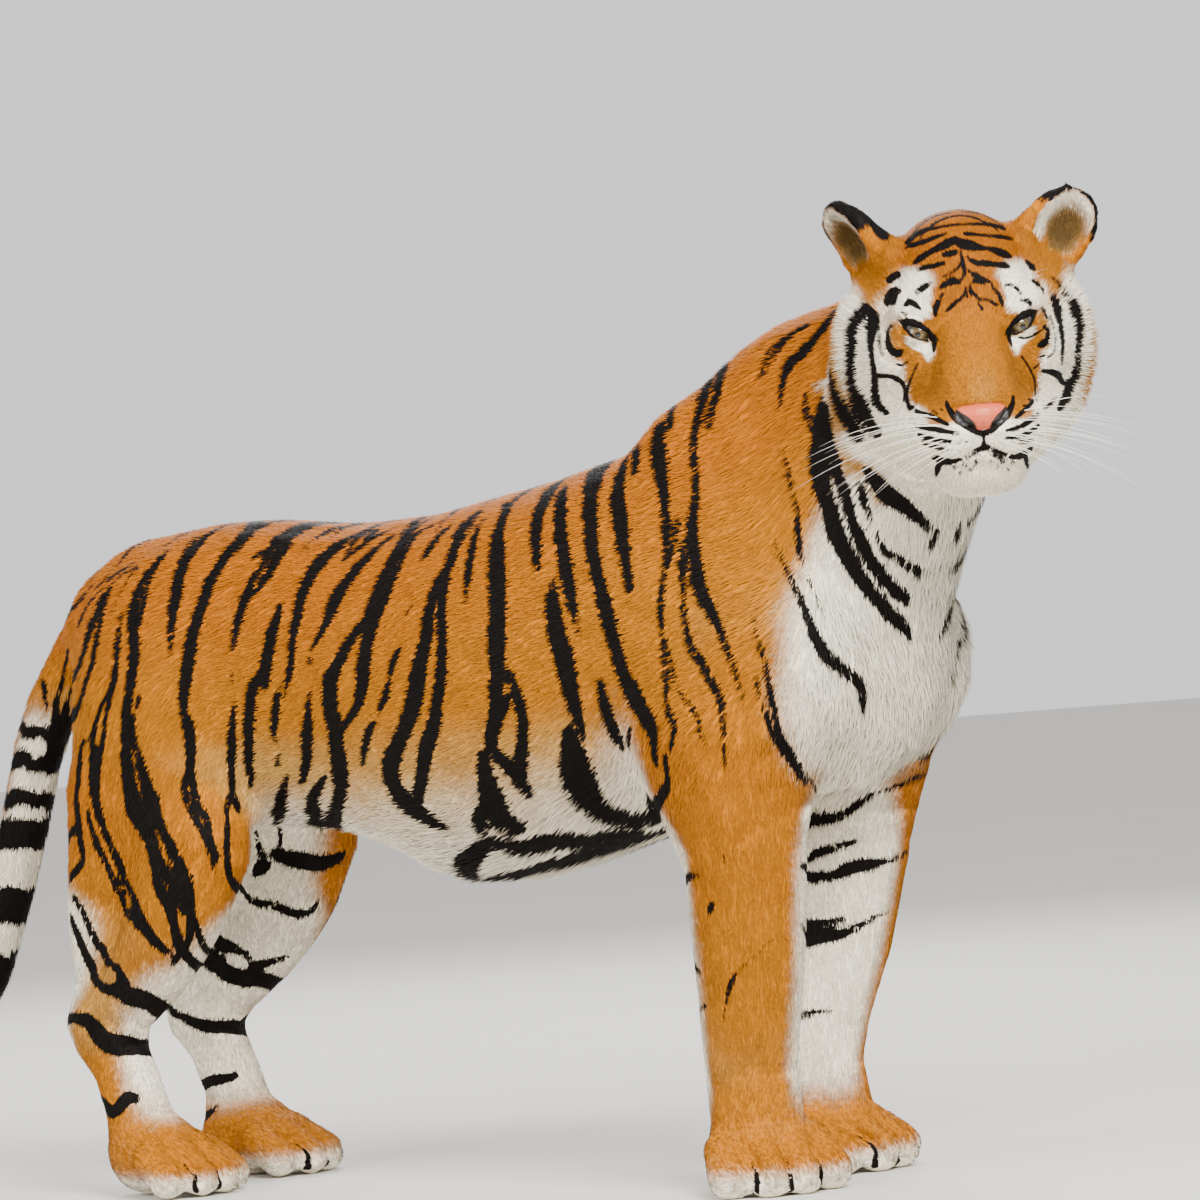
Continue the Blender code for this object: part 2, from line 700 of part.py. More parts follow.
def holds(piece, point):
    """Whether the point lies inside the piece."""
    tree = BVHTree.FromPolygons([Vector(p) for p in piece[0]], piece[1])
    crossings, start = 0, Vector(point)
    ray = Vector((0.13, 0.99, 0.05)).normalized()
    while True:
        hit = tree.ray_cast(start, ray)[0]
        if hit is None:
            return crossings % 2 == 1
        crossings += 1
        start = hit + ray * 1e-5


def inside_points():
    """A point inside each part of the body, by name."""
    head = head_frame()
    found = {}
    for name, at in INSIDE.items():
        found[name] = head @ Vector(at[1:]) if at[0] == "H" else Vector(at)
    for name, ear in zip(("ear_right", "ear_left"), EARS):
        found[name] = ear_frame(*ear) @ Vector((-0.014, 0, 0.016))
    return found


def paint(thing, roughness):
    material = bpy.data.materials.new(thing.name)
    material.use_nodes = True
    shader = material.node_tree.nodes["Principled BSDF"]
    shader.inputs["Base Color"].default_value = (*COLOURS.get(thing.name, COAT), 1.0)
    shader.inputs["Roughness"].default_value = roughness
    thing.data.materials.append(material)


def named_parts(pieces, collection):
    """One object for each part of the body that INSIDE names."""
    made = []
    for name, point in inside_points().items():
        own = [piece for piece in pieces if holds(piece, point)]
        if len(own) != 1:
            raise ValueError(f"{len(own)} pieces hold the point inside {name}")
        made.append(mesh_object(*own[0], name, collection))
    if len(made) != len(pieces):
        raise ValueError(f"{len(pieces)} pieces for {len(made)} names")
    return made


def main():
    for old in list(bpy.data.objects):
        bpy.data.objects.remove(old)
    tiger = bpy.data.collections.new("tiger")
    bpy.context.scene.collection.children.link(tiger)
    body = whole_body(tiger)
    cut_body(body, tiger)
    coated = named_parts(loose_parts(body), tiger)
    bpy.data.objects.remove(body)
    head = head_frame()
    eyes = []
    for side, name in ((-1, "eye_right"), (1, "eye_left")):
        eyes.append(shell_object(Lump(eye_at(side), [EYE_RADIUS] * 3).placed(head), name, tiger))
    nose = shell_object(Lump(NOSE_AT, NOSE_SIZE).placed(head), "nose", tiger)
    for things, roughness in ((coated, 0.9), (eyes, 0.1), ([nose], 0.5)):
        for thing in things:
            paint(thing, roughness)
    made = [*coated, *eyes, nose]
    corners = np.concatenate([positions(thing.data) for thing in made])
    middle = (corners.min(axis=0) + corners.max(axis=0)) / 2
    for thing in made:
        thing.data.transform(Matrix.Translation((-middle[0], -middle[1], 0)))


main()
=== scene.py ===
"""A standing Bengal tiger: a skin over its solids, a striped coat of tufts, eyes, nose, claws and whiskers.

+X is forward, +Y the animal's left and +Z up, in metres. Skin and coat read the same markings: strokes laid
over the body, each a run of places along a limb and round it, or on the face, with a width.
"""

import math

import bmesh
import bpy
import numpy as np
from mathutils import Matrix, Vector
from mathutils.bvhtree import BVHTree
from mathutils.kdtree import KDTree


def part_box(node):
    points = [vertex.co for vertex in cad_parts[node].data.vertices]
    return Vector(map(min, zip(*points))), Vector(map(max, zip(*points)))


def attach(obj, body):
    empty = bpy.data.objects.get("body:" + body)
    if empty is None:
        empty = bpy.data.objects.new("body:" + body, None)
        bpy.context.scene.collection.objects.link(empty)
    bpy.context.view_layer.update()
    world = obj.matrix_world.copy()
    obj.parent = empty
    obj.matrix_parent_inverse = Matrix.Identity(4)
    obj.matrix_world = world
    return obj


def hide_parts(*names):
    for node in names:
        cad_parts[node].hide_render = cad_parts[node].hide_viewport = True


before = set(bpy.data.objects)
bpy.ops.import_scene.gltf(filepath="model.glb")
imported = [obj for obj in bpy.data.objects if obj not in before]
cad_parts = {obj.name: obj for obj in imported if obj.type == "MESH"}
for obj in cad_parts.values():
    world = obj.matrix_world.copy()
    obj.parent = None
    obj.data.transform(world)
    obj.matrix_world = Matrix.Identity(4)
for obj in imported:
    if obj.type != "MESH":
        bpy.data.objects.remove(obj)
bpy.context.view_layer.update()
RANDOM = np.random.default_rng(11)
MM = 0.001

FLESH = [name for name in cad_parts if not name.startswith(("eye", "nose"))]


# ---------------------------------------------------------------- meshes as arrays


def points_of(mesh):
    found = np.empty(len(mesh.vertices) * 3, np.float32)
    mesh.vertices.foreach_get("co", found)
    return found.reshape(-1, 3).astype(float)


def normals_of(mesh):
    found = np.empty(len(mesh.vertices) * 3, np.float32)
    mesh.vertices.foreach_get("normal", found)
    return found.reshape(-1, 3).astype(float)


def edges_of(mesh):
    found = np.empty(len(mesh.edges) * 2, np.int32)
    mesh.edges.foreach_get("vertices", found)
    return found.reshape(-1, 2)


def triangles_of(mesh):
    mesh.calc_loop_triangles()
    found = np.empty(len(mesh.loop_triangles) * 3, np.int32)
    mesh.loop_triangles.foreach_get("vertices", found)
    return found.reshape(-1, 3)


def move_points(mesh, points):
    mesh.vertices.foreach_set("co", points.astype(np.float32).ravel())
    mesh.update()


def unit(rows):
    return rows / np.maximum(np.linalg.norm(rows, axis=-1, keepdims=True), 1e-9)


def soft(values, low, high):
    """0 below low, 1 above high and smooth between them."""
    share = np.clip((values - low) / (high - low), 0, 1)
    return share * share * (3 - 2 * share)


def evened(values, edges, rounds, share=0.5):
    """Values at the vertices, one or several each, drawn towards the mean of their neighbours."""
    rows = values.reshape(len(values), -1).astype(float)
    a, b = edges.T
    count = np.bincount(edges.ravel(), minlength=len(rows)).clip(1)[:, None]
    for _ in range(rounds):
        total = np.empty_like(rows)
        for column in range(rows.shape[1]):
            total[:, column] = np.bincount(a, rows[b, column], len(rows))
            total[:, column] += np.bincount(b, rows[a, column], len(rows))
        rows += (total / count - rows) * share
    return rows.reshape(values.shape)


def store(mesh, name, values):
    """Keeps one number for each vertex, for the materials to read."""
    mesh.attributes.new(name, "FLOAT", "POINT").data.foreach_set("value", values.astype(np.float32))


def mesh_from(shape, name):
    """The finished mesh of a bmesh, which is freed."""
    mesh = bpy.data.meshes.new(name)
    shape.to_mesh(mesh)
    shape.free()
    return mesh


def linked(name, data):
    """A new object in the scene with that mesh, light or camera."""
    thing = bpy.data.objects.new(name, data)
    bpy.context.scene.collection.objects.link(thing)
    return thing


def even_cells(mesh, size):
    """The closed surface round a mesh, in even cells of that size."""
    thing = linked("uneven", mesh)
    step = thing.modifiers.new("even cells", "REMESH")
    step.mode, step.voxel_size = "VOXEL", size
    bpy.context.view_layer.update()
    graph = bpy.context.evaluated_depsgraph_get()
    even = bpy.data.meshes.new_from_object(thing.evaluated_get(graph))
    bpy.data.objects.remove(thing)
    return even


def shown(shape, name, finish):
    """An object made from a bmesh or a mesh, at the origin, that rides with the body."""
    mesh = mesh_from(shape, name) if isinstance(shape, bmesh.types.BMesh) else shape
    piece = linked(name, mesh)
    mesh.shade_smooth()
    mesh.materials.append(finish)
    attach(piece, "root")
    return piece


def off_run(places, run):
    """How far places on a plane lie from a bent line."""
    least = np.full(len(places), np.inf)
    run = np.array(run, float)
    for start, end in zip(run[:-1], run[1:]):
        share = np.clip((places - start) @ (end - start) / ((end - start) @ (end - start)), 0, 1)
        least = np.minimum(least, np.linalg.norm(places - start - share[:, None] * (end - start), axis=1))
    return least


def in_frame(points, turned):
    """The points as a turned and moved frame measures them."""
    turned = turned.inverted()
    return points @ np.array(turned.to_3x3()).T + np.array(turned.translation)


def patch(places, centre, halves, slant=0.0, edge=0.3):
    """1 inside an ellipse, 0 outside it and soft between."""
    turn = math.radians(slant)
    axes = np.array(((math.cos(turn), -math.sin(turn)), (math.sin(turn), math.cos(turn))))
    return soft(np.linalg.norm((places - centre) @ axes / halves, axis=1), 1 + edge, 1 - edge)


# ---------------------------------------------------------------- the head's own frame

# u runs forward, v to the animal's left and w up, from a point between the eyes.
HEAD_PITCH = math.radians(12.0)
EYE_OUT, EYE_UP = 0.011, -0.004


def middle(node):
    low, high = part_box(node)
    return (low + high) / 2


def head_frame():
    right, left = middle("eye_right"), middle("eye_left")
    across = (left - right).normalized()
    forward = across.cross(Vector((0, 0, 1))).normalized()
    turn = Matrix((forward, across, forward.cross(across))).transposed().to_4x4()
    turn @= Matrix.Rotation(HEAD_PITCH, 4, "Y")
    between = (right + left) / 2
    return Matrix.Translation(between) @ turn @ Matrix.Translation((-EYE_OUT, 0, -EYE_UP))


HEAD = head_frame()
HEAD_AT, HEAD_AXES = np.array(HEAD.translation), np.array(HEAD.to_3x3())


def to_head(points):
    return (points - HEAD_AT) @ HEAD_AXES


def from_head(points):
    return np.asarray(points, float) @ HEAD_AXES.T + HEAD_AT


# Each ear's side and, in degrees, how far its opening turns and how far it leans out.
EAR_TURNS = {"ear_right": (-1, -60, 34), "ear_left": (1, 8, 44)}
EAR_AT = (-0.088, 0.100, 0.072)


def side_of(name):
    return 1 if name.endswith("left") else -1


def ear_frame(name):
    """X out of the ear's opening and Z up along it."""
    side, turn, lean = EAR_TURNS[name]
    lean = Matrix.Rotation(math.radians(-side * lean), 4, "X")
    turn = Matrix.Rotation(math.radians(turn), 4, "Z")
    return HEAD @ Matrix.Translation((EAR_AT[0], side * EAR_AT[1], EAR_AT[2])) @ lean @ turn


# ---------------------------------------------------------------- the skin's surface

CELL = 9.2 * MM  # of the even mesh that closes the cuts between the solids
SWELL = 0.7 * MM
# The cells are halved within reach of these points of the head, round each eye, and in the toes.
FINE_HEAD, FINE_MUZZLE = ((-0.05, 0, -0.04), 0.185), ((0.03, 0, -0.06), 0.102)
FINE_EYE = 0.036
SOLE_TOP, TOES_TOP = 0.004, 0.085


def merged(*nodes):
    """The faces of the solids, joined where their corners meet."""
    shape = bmesh.new()
    for node in nodes:
        shape.from_mesh(node.data)
    bmesh.ops.remove_doubles(shape, verts=shape.verts, dist=1e-5)
    return shape


def flesh():
    """Every solid's faces, merged and swollen a little so that the thin cuts between them close."""
    shape = merged(*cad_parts.values())
    shape.normal_update()
    for vert in shape.verts:
        vert.co += vert.normal * SWELL
    return mesh_from(shape, "flesh")


def outermost(mesh):
    """Drops every closed shell but the one that reaches furthest forward."""
    a, b = edges_of(mesh).T
    kept = np.zeros(len(mesh.vertices), bool)
    kept[points_of(mesh)[:, 0].argmax()] = True
    while True:
        crossing = kept[a] != kept[b]
        if not crossing.any():
            break
        kept[a[crossing]] = kept[b[crossing]] = True
    shape = bmesh.new()
    shape.from_mesh(mesh)
    inner = [vert for vert in shape.verts if not kept[vert.index]]
    bmesh.ops.delete(shape, geom=inner, context="VERTS")
    return shape


def finer(shape, near):
    """Halves the faces round the points that near picks, given all the points."""
    points = np.array([vert.co[:] for vert in shape.verts])
    picked = near(points)
    edges = [edge for edge in shape.edges if picked[edge.verts[0].index] and picked[edge.verts[1].index]]
    bmesh.ops.subdivide_edges(shape, edges=edges, cuts=1, use_grid_fill=True)
    shape.verts.index_update()


def within(centre, reach):
    """Picks what lies within reach of a point of the head."""
    return lambda points: np.linalg.norm(to_head(points) - centre, axis=1) < reach


def rounded(mesh, rounds):
    """Smooths the mesh and gives back most of what that shrinks."""
    points, edges = points_of(mesh), edges_of(mesh)
    for _ in range(rounds):
        points = evened(points, edges, 1, 0.5)
        points = evened(points, edges, 1, -0.51)
    move_points(mesh, points)


def bare_skin():
    """The closed surface of the whole animal, finest round the eyes, nose and mouth."""
    whole = flesh()
    tree = BVHTree.FromPolygons(points_of(whole).tolist(), triangles_of(whole).tolist())
    shape = outermost(even_cells(whole, CELL))
    finer(shape, within(*FINE_HEAD))
    finer(shape, lambda points: (points[:, 2] < TOES_TOP) & (points[:, 2] > SOLE_TOP))
    finer(shape, within(*FINE_MUZZLE))
    for side in (-1, 1):
        finer(shape, within((0.020, side * 0.0575, EYE_UP), FINE_EYE))
    mesh = mesh_from(shape, "skin")
    found = [tree.find_nearest(point)[0] for point in points_of(mesh)]
    move_points(mesh, np.array(found))
    rounded(mesh, 4)
    return mesh


def nearest_nodes(points):
    """The name of the solid that each point lies next to."""
    names, places = [], []
    for name in FLESH:
        rows = points_of(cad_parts[name].data)
        names += [name] * len(rows)
        places.append(rows)
    places = np.concatenate(places)
    tree = KDTree(len(places))
    for number, place in enumerate(places):
        tree.insert(place, number)
    tree.balance()
    return np.array([names[tree.find(point)[1]] for point in points])


# ---------------------------------------------------------------- eyelids, mouth and the skin's bare places

EYE_HALF_APART = (middle("eye_left") - middle("eye_right")).length / 2
EYE_RADIUS = (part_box("eye_left")[1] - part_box("eye_left")[0]).z / 2
OPENING_AT = (0.0575, -0.0012)  # its middle, to the side of the head's middle and up from it
OPENING_SLANT = math.radians(28)
OPENING_LONG, OPENING_UP, OPENING_DOWN = 16.5 * MM, 2.9 * MM, 5.4 * MM
RIM = 2.6 * MM  # the black round the opening
EDGE = 1.4 * MM  # the lids' own edge round it
LID, HOLLOW = 1.5 * MM, 3.0 * MM  # the lids over the ball, and the skin behind it in the opening
LIDS_REACH = 0.036  # how far from the eye's middle they are shaped
NOSE_AT, NOSE_HALVES = (0.106, 0.0, -0.089), (0.019, 0.033, 0.018)
# The lips' line and the one from the nose down to it, in mm to the side and up.
MOUTH, LIP_SPLIT = ((0, -128), (14, -131), (28, -136), (42, -140), (54, -143)), ((0, -108), (0, -128))


def off_opening(place, side):
    """How far points of the head lie outside the eye's almond opening, from the front; below 0 inside."""
    off = place[:, 1:] * (side, 1) - OPENING_AT
    along = off[:, 0] * math.cos(OPENING_SLANT) + off[:, 1] * math.sin(OPENING_SLANT)
    across = off[:, 1] * math.cos(OPENING_SLANT) - off[:, 0] * math.sin(OPENING_SLANT)
    high = np.where(across > 0, OPENING_UP, OPENING_DOWN)
    share = (along / OPENING_LONG) ** 2 + np.abs(across) / high
    return (share - 1) / np.hypot(2 * along / OPENING_LONG**2, 1 / high)


def near_eye(place, side, reach):
    """Which points of the head lie within reach of an eye's front."""
    return np.linalg.norm(place - (0.02, side * EYE_HALF_APART, EYE_UP), axis=1) < reach


def shape_lids(place):
    """Lays the lids over the eyes' balls and hollows the openings out behind them."""
    for side in (-1, 1):
        centre = np.array((EYE_OUT, side * EYE_HALF_APART, EYE_UP))
        off = place - centre
        far = np.linalg.norm(off, axis=1)
        outside = off_opening(place, side)
        near = (off[:, 0] > -0.002) & (far < LIDS_REACH)
        hollow = EYE_RADIUS - HOLLOW + (LID + HOLLOW) * soft(outside, -1.2 * MM, EDGE)
        ridge = EYE_RADIUS + LID + 0.9 * MM * soft(outside, 3 * MM, 0.5 * MM)
        over = (far + ridge) / 2 + np.hypot((far - ridge) / 2, 1.2 * MM)
        blended = over + (hollow - over) * soft(outside, 2.6 * MM, EDGE)
        wanted = np.where(outside < EDGE, hollow, blended)
        fade = soft(far, LIDS_REACH, 0.028)
        moved = centre + off / np.maximum(far, 1e-6)[:, None] * (far + (wanted - far) * fade)[:, None]
        place[near] = moved[near]


def pressed(flat, line, half, depth):
    """How deep a groove of that half width along the line is at each place."""
    return np.exp(-((off_run(flat, line) / half) ** 2)) * depth * MM


def shape_face(points):
    """Makes the lids, presses the mouth's line in and lays the skin behind the nose's leather."""
    place = to_head(points)
    shape_lids(place)
    flat = np.column_stack([np.abs(place[:, 1]), place[:, 2]]) * 1000
    grooves = pressed(flat, MOUTH, 3.2, 4.0) + pressed(flat, LIP_SPLIT, 2.6, 3.0)
    place[:, 0] -= grooves * soft(place[:, 0], 0.02, 0.04)
    nose = np.linalg.norm((place - NOSE_AT) / NOSE_HALVES, axis=1)
    place[:, 0] -= soft(nose, 1.30, 0.95) * soft(place[:, 2], -0.070, -0.077) * 6 * MM
    return from_head(place)


# Each paw: where it stands, the way it heads in degrees, its width and its length.
PAWS = (
    ((0.593, -0.115), -38, 0.150, 0.185),
    ((0.545, 0.101), -2, 0.150, 0.185),
    ((-0.353, -0.112), -8, 0.132, 0.175),
    ((-0.381, 0.115), 6, 0.132, 0.175),
)
GAP_APART = 0.26  # from one gap between the toes to the next, in shares of the paw's width
GAP_DEEP, GAP_HALF = 8 * MM, 5 * MM


def paw_frame(at, heading):
    """X along the paw and Z up, from the floor below its middle."""
    return Matrix.Translation((*at, 0)) @ Matrix.Rotation(math.radians(heading), 4, "Z")


def shape_paws(points, normals):
    """Presses the gaps between the toes in."""
    for at, heading, width, _ in PAWS:
        place = in_frame(points, paw_frame(at, heading))
        gap = GAP_APART * width
        off = place[:, 1] - gap * np.clip(np.round(place[:, 1] / gap), -1, 1)
        near = soft(place[:, 0], 0.035, 0.075) * soft(place[:, 2], 0.080, 0.045)
        near = near * (np.abs(place[:, 1]) < width)
        near *= (place[:, 0] < 0.2) * soft(normals[:, 2], -0.7, -0.2)
        points = points - normals * (GAP_DEEP * near * np.exp(-((off / GAP_HALF) ** 2)))[:, None]
    return points


def bareness(skin):
    """1 where no tufts grow: in the eyes' openings, at the nose and on the soles."""
    place = to_head(skin.points)
    bare = soft(skin.points[:, 2], 0.010, 0.005)
    for side in (-1, 1):
        opened = soft(off_opening(place, side), 2.2 * MM, 1.0 * MM)
        bare = np.maximum(bare, near_eye(place, side, LIDS_REACH) * opened)
    nose = np.linalg.norm((place - NOSE_AT) / NOSE_HALVES, axis=1)
    return np.maximum(bare, soft(nose, 1.16, 1.04))


# ---------------------------------------------------------------- how the coat lies and how long it is

# For each solid: a tuft's length and width and the coat's depth, in mm, and tufts to a square cm.
COAT = {
    "trunk": (17, 3.0, 3.6, 9.0),
    "neck": (19, 2.8, 4.5, 10.5),
    "head": (7.5, 1.5, 1.3, 34.0),
    "jaw": (9, 1.6, 1.6, 28.0),
    "ear": (6, 1.6, 1.0, 30.0),
    "thigh": (14, 2.7, 2.8, 9.5),
    "shank": (12, 2.4, 1.8, 11.0),
    "hindpaw": (8, 2.0, 1.3, 12.0),
    "foreleg": (14, 2.0, 1.4, 15.0),
    "forepaw": (8, 2.0, 1.3, 12.0),
    "tail": (20, 3.0, 4.0, 9.0),
}
NOSE_TIP = np.array((0.125, 0.0, -0.085))


def kind(names):
    """The plain part of each solid's name, such as foreleg for foreleg_left."""
    return np.array([name.split("_")[0] for name in names])


def along_line(points, line):
    """The direction of the run of line that each point lies nearest to."""
    starts, ends = np.array(line[:-1], float), np.array(line[1:], float)
    found, least = np.zeros_like(points), np.full(len(points), np.inf)
    for start, run in zip(starts, ends - starts):
        share = np.clip((points - start) @ run / (run @ run), 0, 1)[:, None]
        far = np.linalg.norm(points - start - share * run, axis=1)
        nearer = far < least
        found[nearer], least[nearer] = run, far[nearer]
    return unit(found)


def combed(points, normals, kinds):
    """The way that the hair lies before it is evened out: back from the nose and along, and down the legs."""
    lie = np.zeros_like(points)
    front = soft(normals[:, 0], -0.1, 0.7)[:, None]
    low = soft(points[:, 2], 0.66, 0.46)[:, None] * soft(points[:, 0], 0.40, 0.52)[:, None]
    haunch = soft(points[:, 0], -0.22, -0.36)[:, None] * soft(points[:, 2], 0.78, 0.60)[:, None]
    back = np.array((-1.0, 0, -0.22))
    down = np.array((-0.05, 0, -1.0))
    at = kinds == "trunk"
    trunk = back + (down - back) * np.maximum(front, low)
    trunk = trunk + (np.array((-0.55, 0, -1.0)) - trunk) * haunch
    lie[at] = trunk[at]
    at = kinds == "neck"
    lie[at] = (np.array((-0.9, 0.05, -0.55)) + (down - (-0.9, 0.05, -0.55)) * front)[at]
    at = np.isin(kinds, ("head", "jaw"))
    face = unit(to_head(points) - NOSE_TIP)
    face[:, 2] -= 0.55 * soft(-face[:, 0], 0.5, 0.9) * soft(to_head(points)[:, 2], 0.04, -0.02)
    lie[at] = (face @ HEAD_AXES.T)[at]
    at = kinds == "ear"
    lie[at] = HEAD_AXES @ (-0.25, 0, 1.0)
    for name, way in (("foreleg", (-0.06, 0, -1)), ("thigh", (-0.45, 0, -1)), ("shank", (-0.35, 0, -1))):
        lie[kinds == name] = way
    toes = soft(points[:, 2], 0.12, 0.05)[:, None]
    for name, way in (("forepaw", (0.9, -0.35, -0.35)), ("hindpaw", (0.9, 0, -0.35))):
        at = kinds == name
        lie[at] = (down + (np.array(way) - down) * toes)[at]
    at = kinds == "tail"
    lie[at] = along_line(points, TAIL)[at]
    return unit(lie)


def on_surface(ways, normals):
    """The ways with what points out of the surface taken off."""
    return unit(ways - normals * (ways * normals).sum(axis=1, keepdims=True))


def lie_of_coat(points, normals, edges, kinds):
    lie = on_surface(combed(points, normals, kinds), normals)
    for _ in range(12):
        lie = on_surface(evened(lie, edges, 3), normals)
    return lie


def ear_lining(points, normals, kinds):
    """1 where the long pale hair inside the ears grows."""
    lining = np.zeros(len(points))
    for name in EAR_TURNS:
        turned = ear_frame(name)
        place = in_frame(points, turned) * 1000
        facing = normals @ np.array(turned.to_3x3())[:, 0]
        share = patch(place[:, 1:], (0, 30), (30, 38), edge=0.15) * soft(facing, 0, 0.3)
        lining = np.maximum(lining, share * (kinds == "ear") * (np.linalg.norm(place, axis=1) < 100))
    return lining


def coat_sizes(points, normals, edges, kinds):
    """The coat's length, width and depth in metres, and tufts to a square metre, all over the skin."""
    sizes = np.array([COAT[name] for name in kinds], float) * (MM, MM, MM, 1e4)
    head = to_head(points)
    on_head = np.isin(kinds, ("head", "jaw"))
    belly = (kinds == "trunk") * soft(normals[:, 2], -0.25, -0.75)
    chest = np.isin(kinds, ("trunk", "neck")) * soft(normals[:, 0], 0.45, 0.8) * soft(points[:, 0], 0.5, 0.6)
    out = np.abs(head[:, 1])
    ruff = on_head * soft(head[:, 0], 0.0, -0.05) * soft(out, 0.075, 0.105) * soft(head[:, 2], 0.05, 0.0)
    muzzle = on_head * soft(head[:, 0], 0.02, 0.05)
    cheek = on_head * soft(head[:, 0], 0.03, -0.03) * soft(out, 0.05, 0.08)
    chin = on_head * soft(head[:, 2], -0.135, -0.155)
    lining = ear_lining(points, normals, kinds)
    for share, length, width, depth, count in (
        (belly, 34, 4.2, 8.0, 5.5),
        (chest, 26, 3.4, 6.5, 8.0),
        (cheek, 11, 1.8, 2.0, 28.0),
        (ruff, 24, 2.4, 6.0, 18.0),
        (muzzle, 4.5, 1.2, 0.9, 38.0),
        (chin, 13, 1.7, 2.4, 26.0),
        (lining, 17, 1.5, 4.5, 22.0),
    ):
        there = np.array((length * MM, width * MM, depth * MM, count * 1e4))
        sizes += (there - sizes) * share[:, None]
    return evened(sizes, edges, 8)


# ---------------------------------------------------------------- shader maths and finishes


class Value:
    """A shader socket in an expression: each operator on it adds the Math node that works it out."""

    def __init__(self, finish, socket):
        self.finish, self.socket = finish, socket

    def math(self, operation, first, second):
        return self.finish.node("Math", {"operation": operation}, {0: first, 1: second})

    def __add__(self, other):
        return self.math("ADD", self, other)

    def __radd__(self, other):
        return self.math("ADD", other, self)

    def __sub__(self, other):
        return self.math("SUBTRACT", self, other)

    def __rsub__(self, other):
        return self.math("SUBTRACT", other, self)

    def __mul__(self, other):
        return self.math("MULTIPLY", self, other)

    def __rmul__(self, other):
        return self.math("MULTIPLY", other, self)

    def step(self, low, high):
        """0 up to low, 1 from high on and smooth between them; low may be the higher."""
        share = self.finish.node("MapRange", None, {"Value": self, "From Min": low, "From Max": high})
        return share * share * (3 - 2 * share)


class Finish:
    """A material, with its Principled BSDF's fixed values by name; node() adds any other node."""

    def __init__(self, name, **fixed):
        self.material = bpy.data.materials.new(name)
        self.material.use_nodes = True
        self.tree = self.material.node_tree
        self.shader = self.tree.nodes["Principled BSDF"]
        for socket, value in fixed.items():
            self.shader.inputs[socket.replace("_", " ")].default_value = value

    def node(self, kind, settings=None, sockets=None, out=0):
        """Adds a node of that type: its settings first, then the values and links of its sockets."""
        made = self.tree.nodes.new("ShaderNode" + kind)
        for name, value in (settings or {}).items():
            setattr(made, name, value)
        for name, value in (sockets or {}).items():
            self.feed(made.inputs[name], value)
        return Value(self, made.outputs[out])

    def feed(self, socket, value):
        if isinstance(value, Value):
            self.tree.links.new(value.socket, socket)
        else:
            socket.default_value = value

    def set(self, name, value):
        """Links what varies to one of the shader's sockets."""
        self.feed(self.shader.inputs[name], value)

    def own(self, name):
        """A number that the piece keeps at each of its points."""
        return self.node("Attribute", {"attribute_name": name}, out=2)

    def mix(self, share, first, second, way="MIX"):
        """From the first colour to the second."""
        settings = {"data_type": "RGBA", "blend_type": way}
        return self.node("Mix", settings, {0: share, 6: first, 7: second}, out=2)

    def noise(self, size, detail=2.0, stretch=(1, 1, 1)):
        """Noise from 0 to 1 whose marks are about so many metres across."""
        place = self.node("TexCoord", out=3)
        scaled = self.node("Mapping", None, {"Vector": place, "Scale": stretch})
        return self.node("TexNoise", None, {"Vector": scaled, "Scale": 1 / size, "Detail": detail})

    def bump(self, height, depth, strength=1.0):
        """Relief so many metres deep where height goes from 0 to 1."""
        sockets = {"Height": height, "Distance": depth, "Strength": strength}
        self.set("Normal", self.node("Bump", None, sockets))


def paint(red, green, blue):
    """A colour from its values on a screen, 0 to 255."""
    light = []
    for share in (red / 255, green / 255, blue / 255):
        light.append(((share + 0.055) / 1.055) ** 2.4 if share > 0.04 else share / 12.92)
    return (*light, 1.0)


BACK_ORANGE = paint(182, 101, 8)
FLANK_ORANGE = paint(184, 112, 12)
TAN = paint(206, 158, 84)
CREAM = paint(255, 245, 220)
BLACK = paint(20, 16, 14)
# Painted shade deep in the coat: a tuft's root is darker than its tip.
ROOT_SHADE = 0.60  # how light a tuft is at its root, against its tip


def fur_finish():
    """The coat's colours from its markings: orange that pales downwards, cream where white, and black, with
    painted shade that darkens each tuft towards its root.
    """
    fur = Finish("fur", Roughness=0.62, Specular_IOR_Level=0.06)
    broad = fur.noise(0.09, 3.0)
    fine = fur.noise(0.006, 2.0)
    pale = fur.own("pale") + (broad - 0.5) * 0.35
    orange = fur.mix(pale.step(0.55, 1.0), fur.mix(pale.step(0.0, 0.6), BACK_ORANGE, FLANK_ORANGE), TAN)
    white = (fur.own("white") + (broad - 0.5) * 0.3 + (fine - 0.5) * 0.3).step(0.12, 0.88)
    ground = fur.mix(white, orange, CREAM)
    black = (fur.own("stripe") * 1000 + (fine - 0.5) * 1.6).step(0.7, -0.7)
    coloured = fur.mix(black, ground, BLACK)
    # Painted shade: each tuft darker towards its root, times its own tone and the painted shade kept in
    # tone_and_shade.
    light = fur.own("tone_and_shade") * (fur.own("along") * (1 - ROOT_SHADE) + ROOT_SHADE)
    shade = fur.node("CombineColor", None, {0: light, 1: light, 2: light})
    fur.set("Base Color", fur.mix(1.0, coloured, shade, "MULTIPLY"))
    fur.bump(fine, 0.0006)
    return fur.material


# ---------------------------------------------------------------- the coat


def tuft_shape():
    """Points and faces of one tuft along Z: a three-sided spike."""
    shape = bmesh.new()
    bmesh.ops.create_cone(shape, cap_ends=True, segments=3, radius1=1.0, radius2=0.0, depth=1.0)
    bmesh.ops.translate(shape, verts=shape.verts, vec=(0, 0, 0.5))
    bmesh.ops.triangulate(shape, faces=shape.faces)
    bmesh.ops.recalc_face_normals(shape, faces=shape.faces)
    places = np.array([vert.co[:] for vert in shape.verts])
    # coat_piece lays X up, Y aside and Z along the coat, which mirrors the shape, so its faces turn over.
    faces = np.array([[vert.index for vert in face.verts][::-1] for face in shape.faces])
    shape.free()
    return places, faces


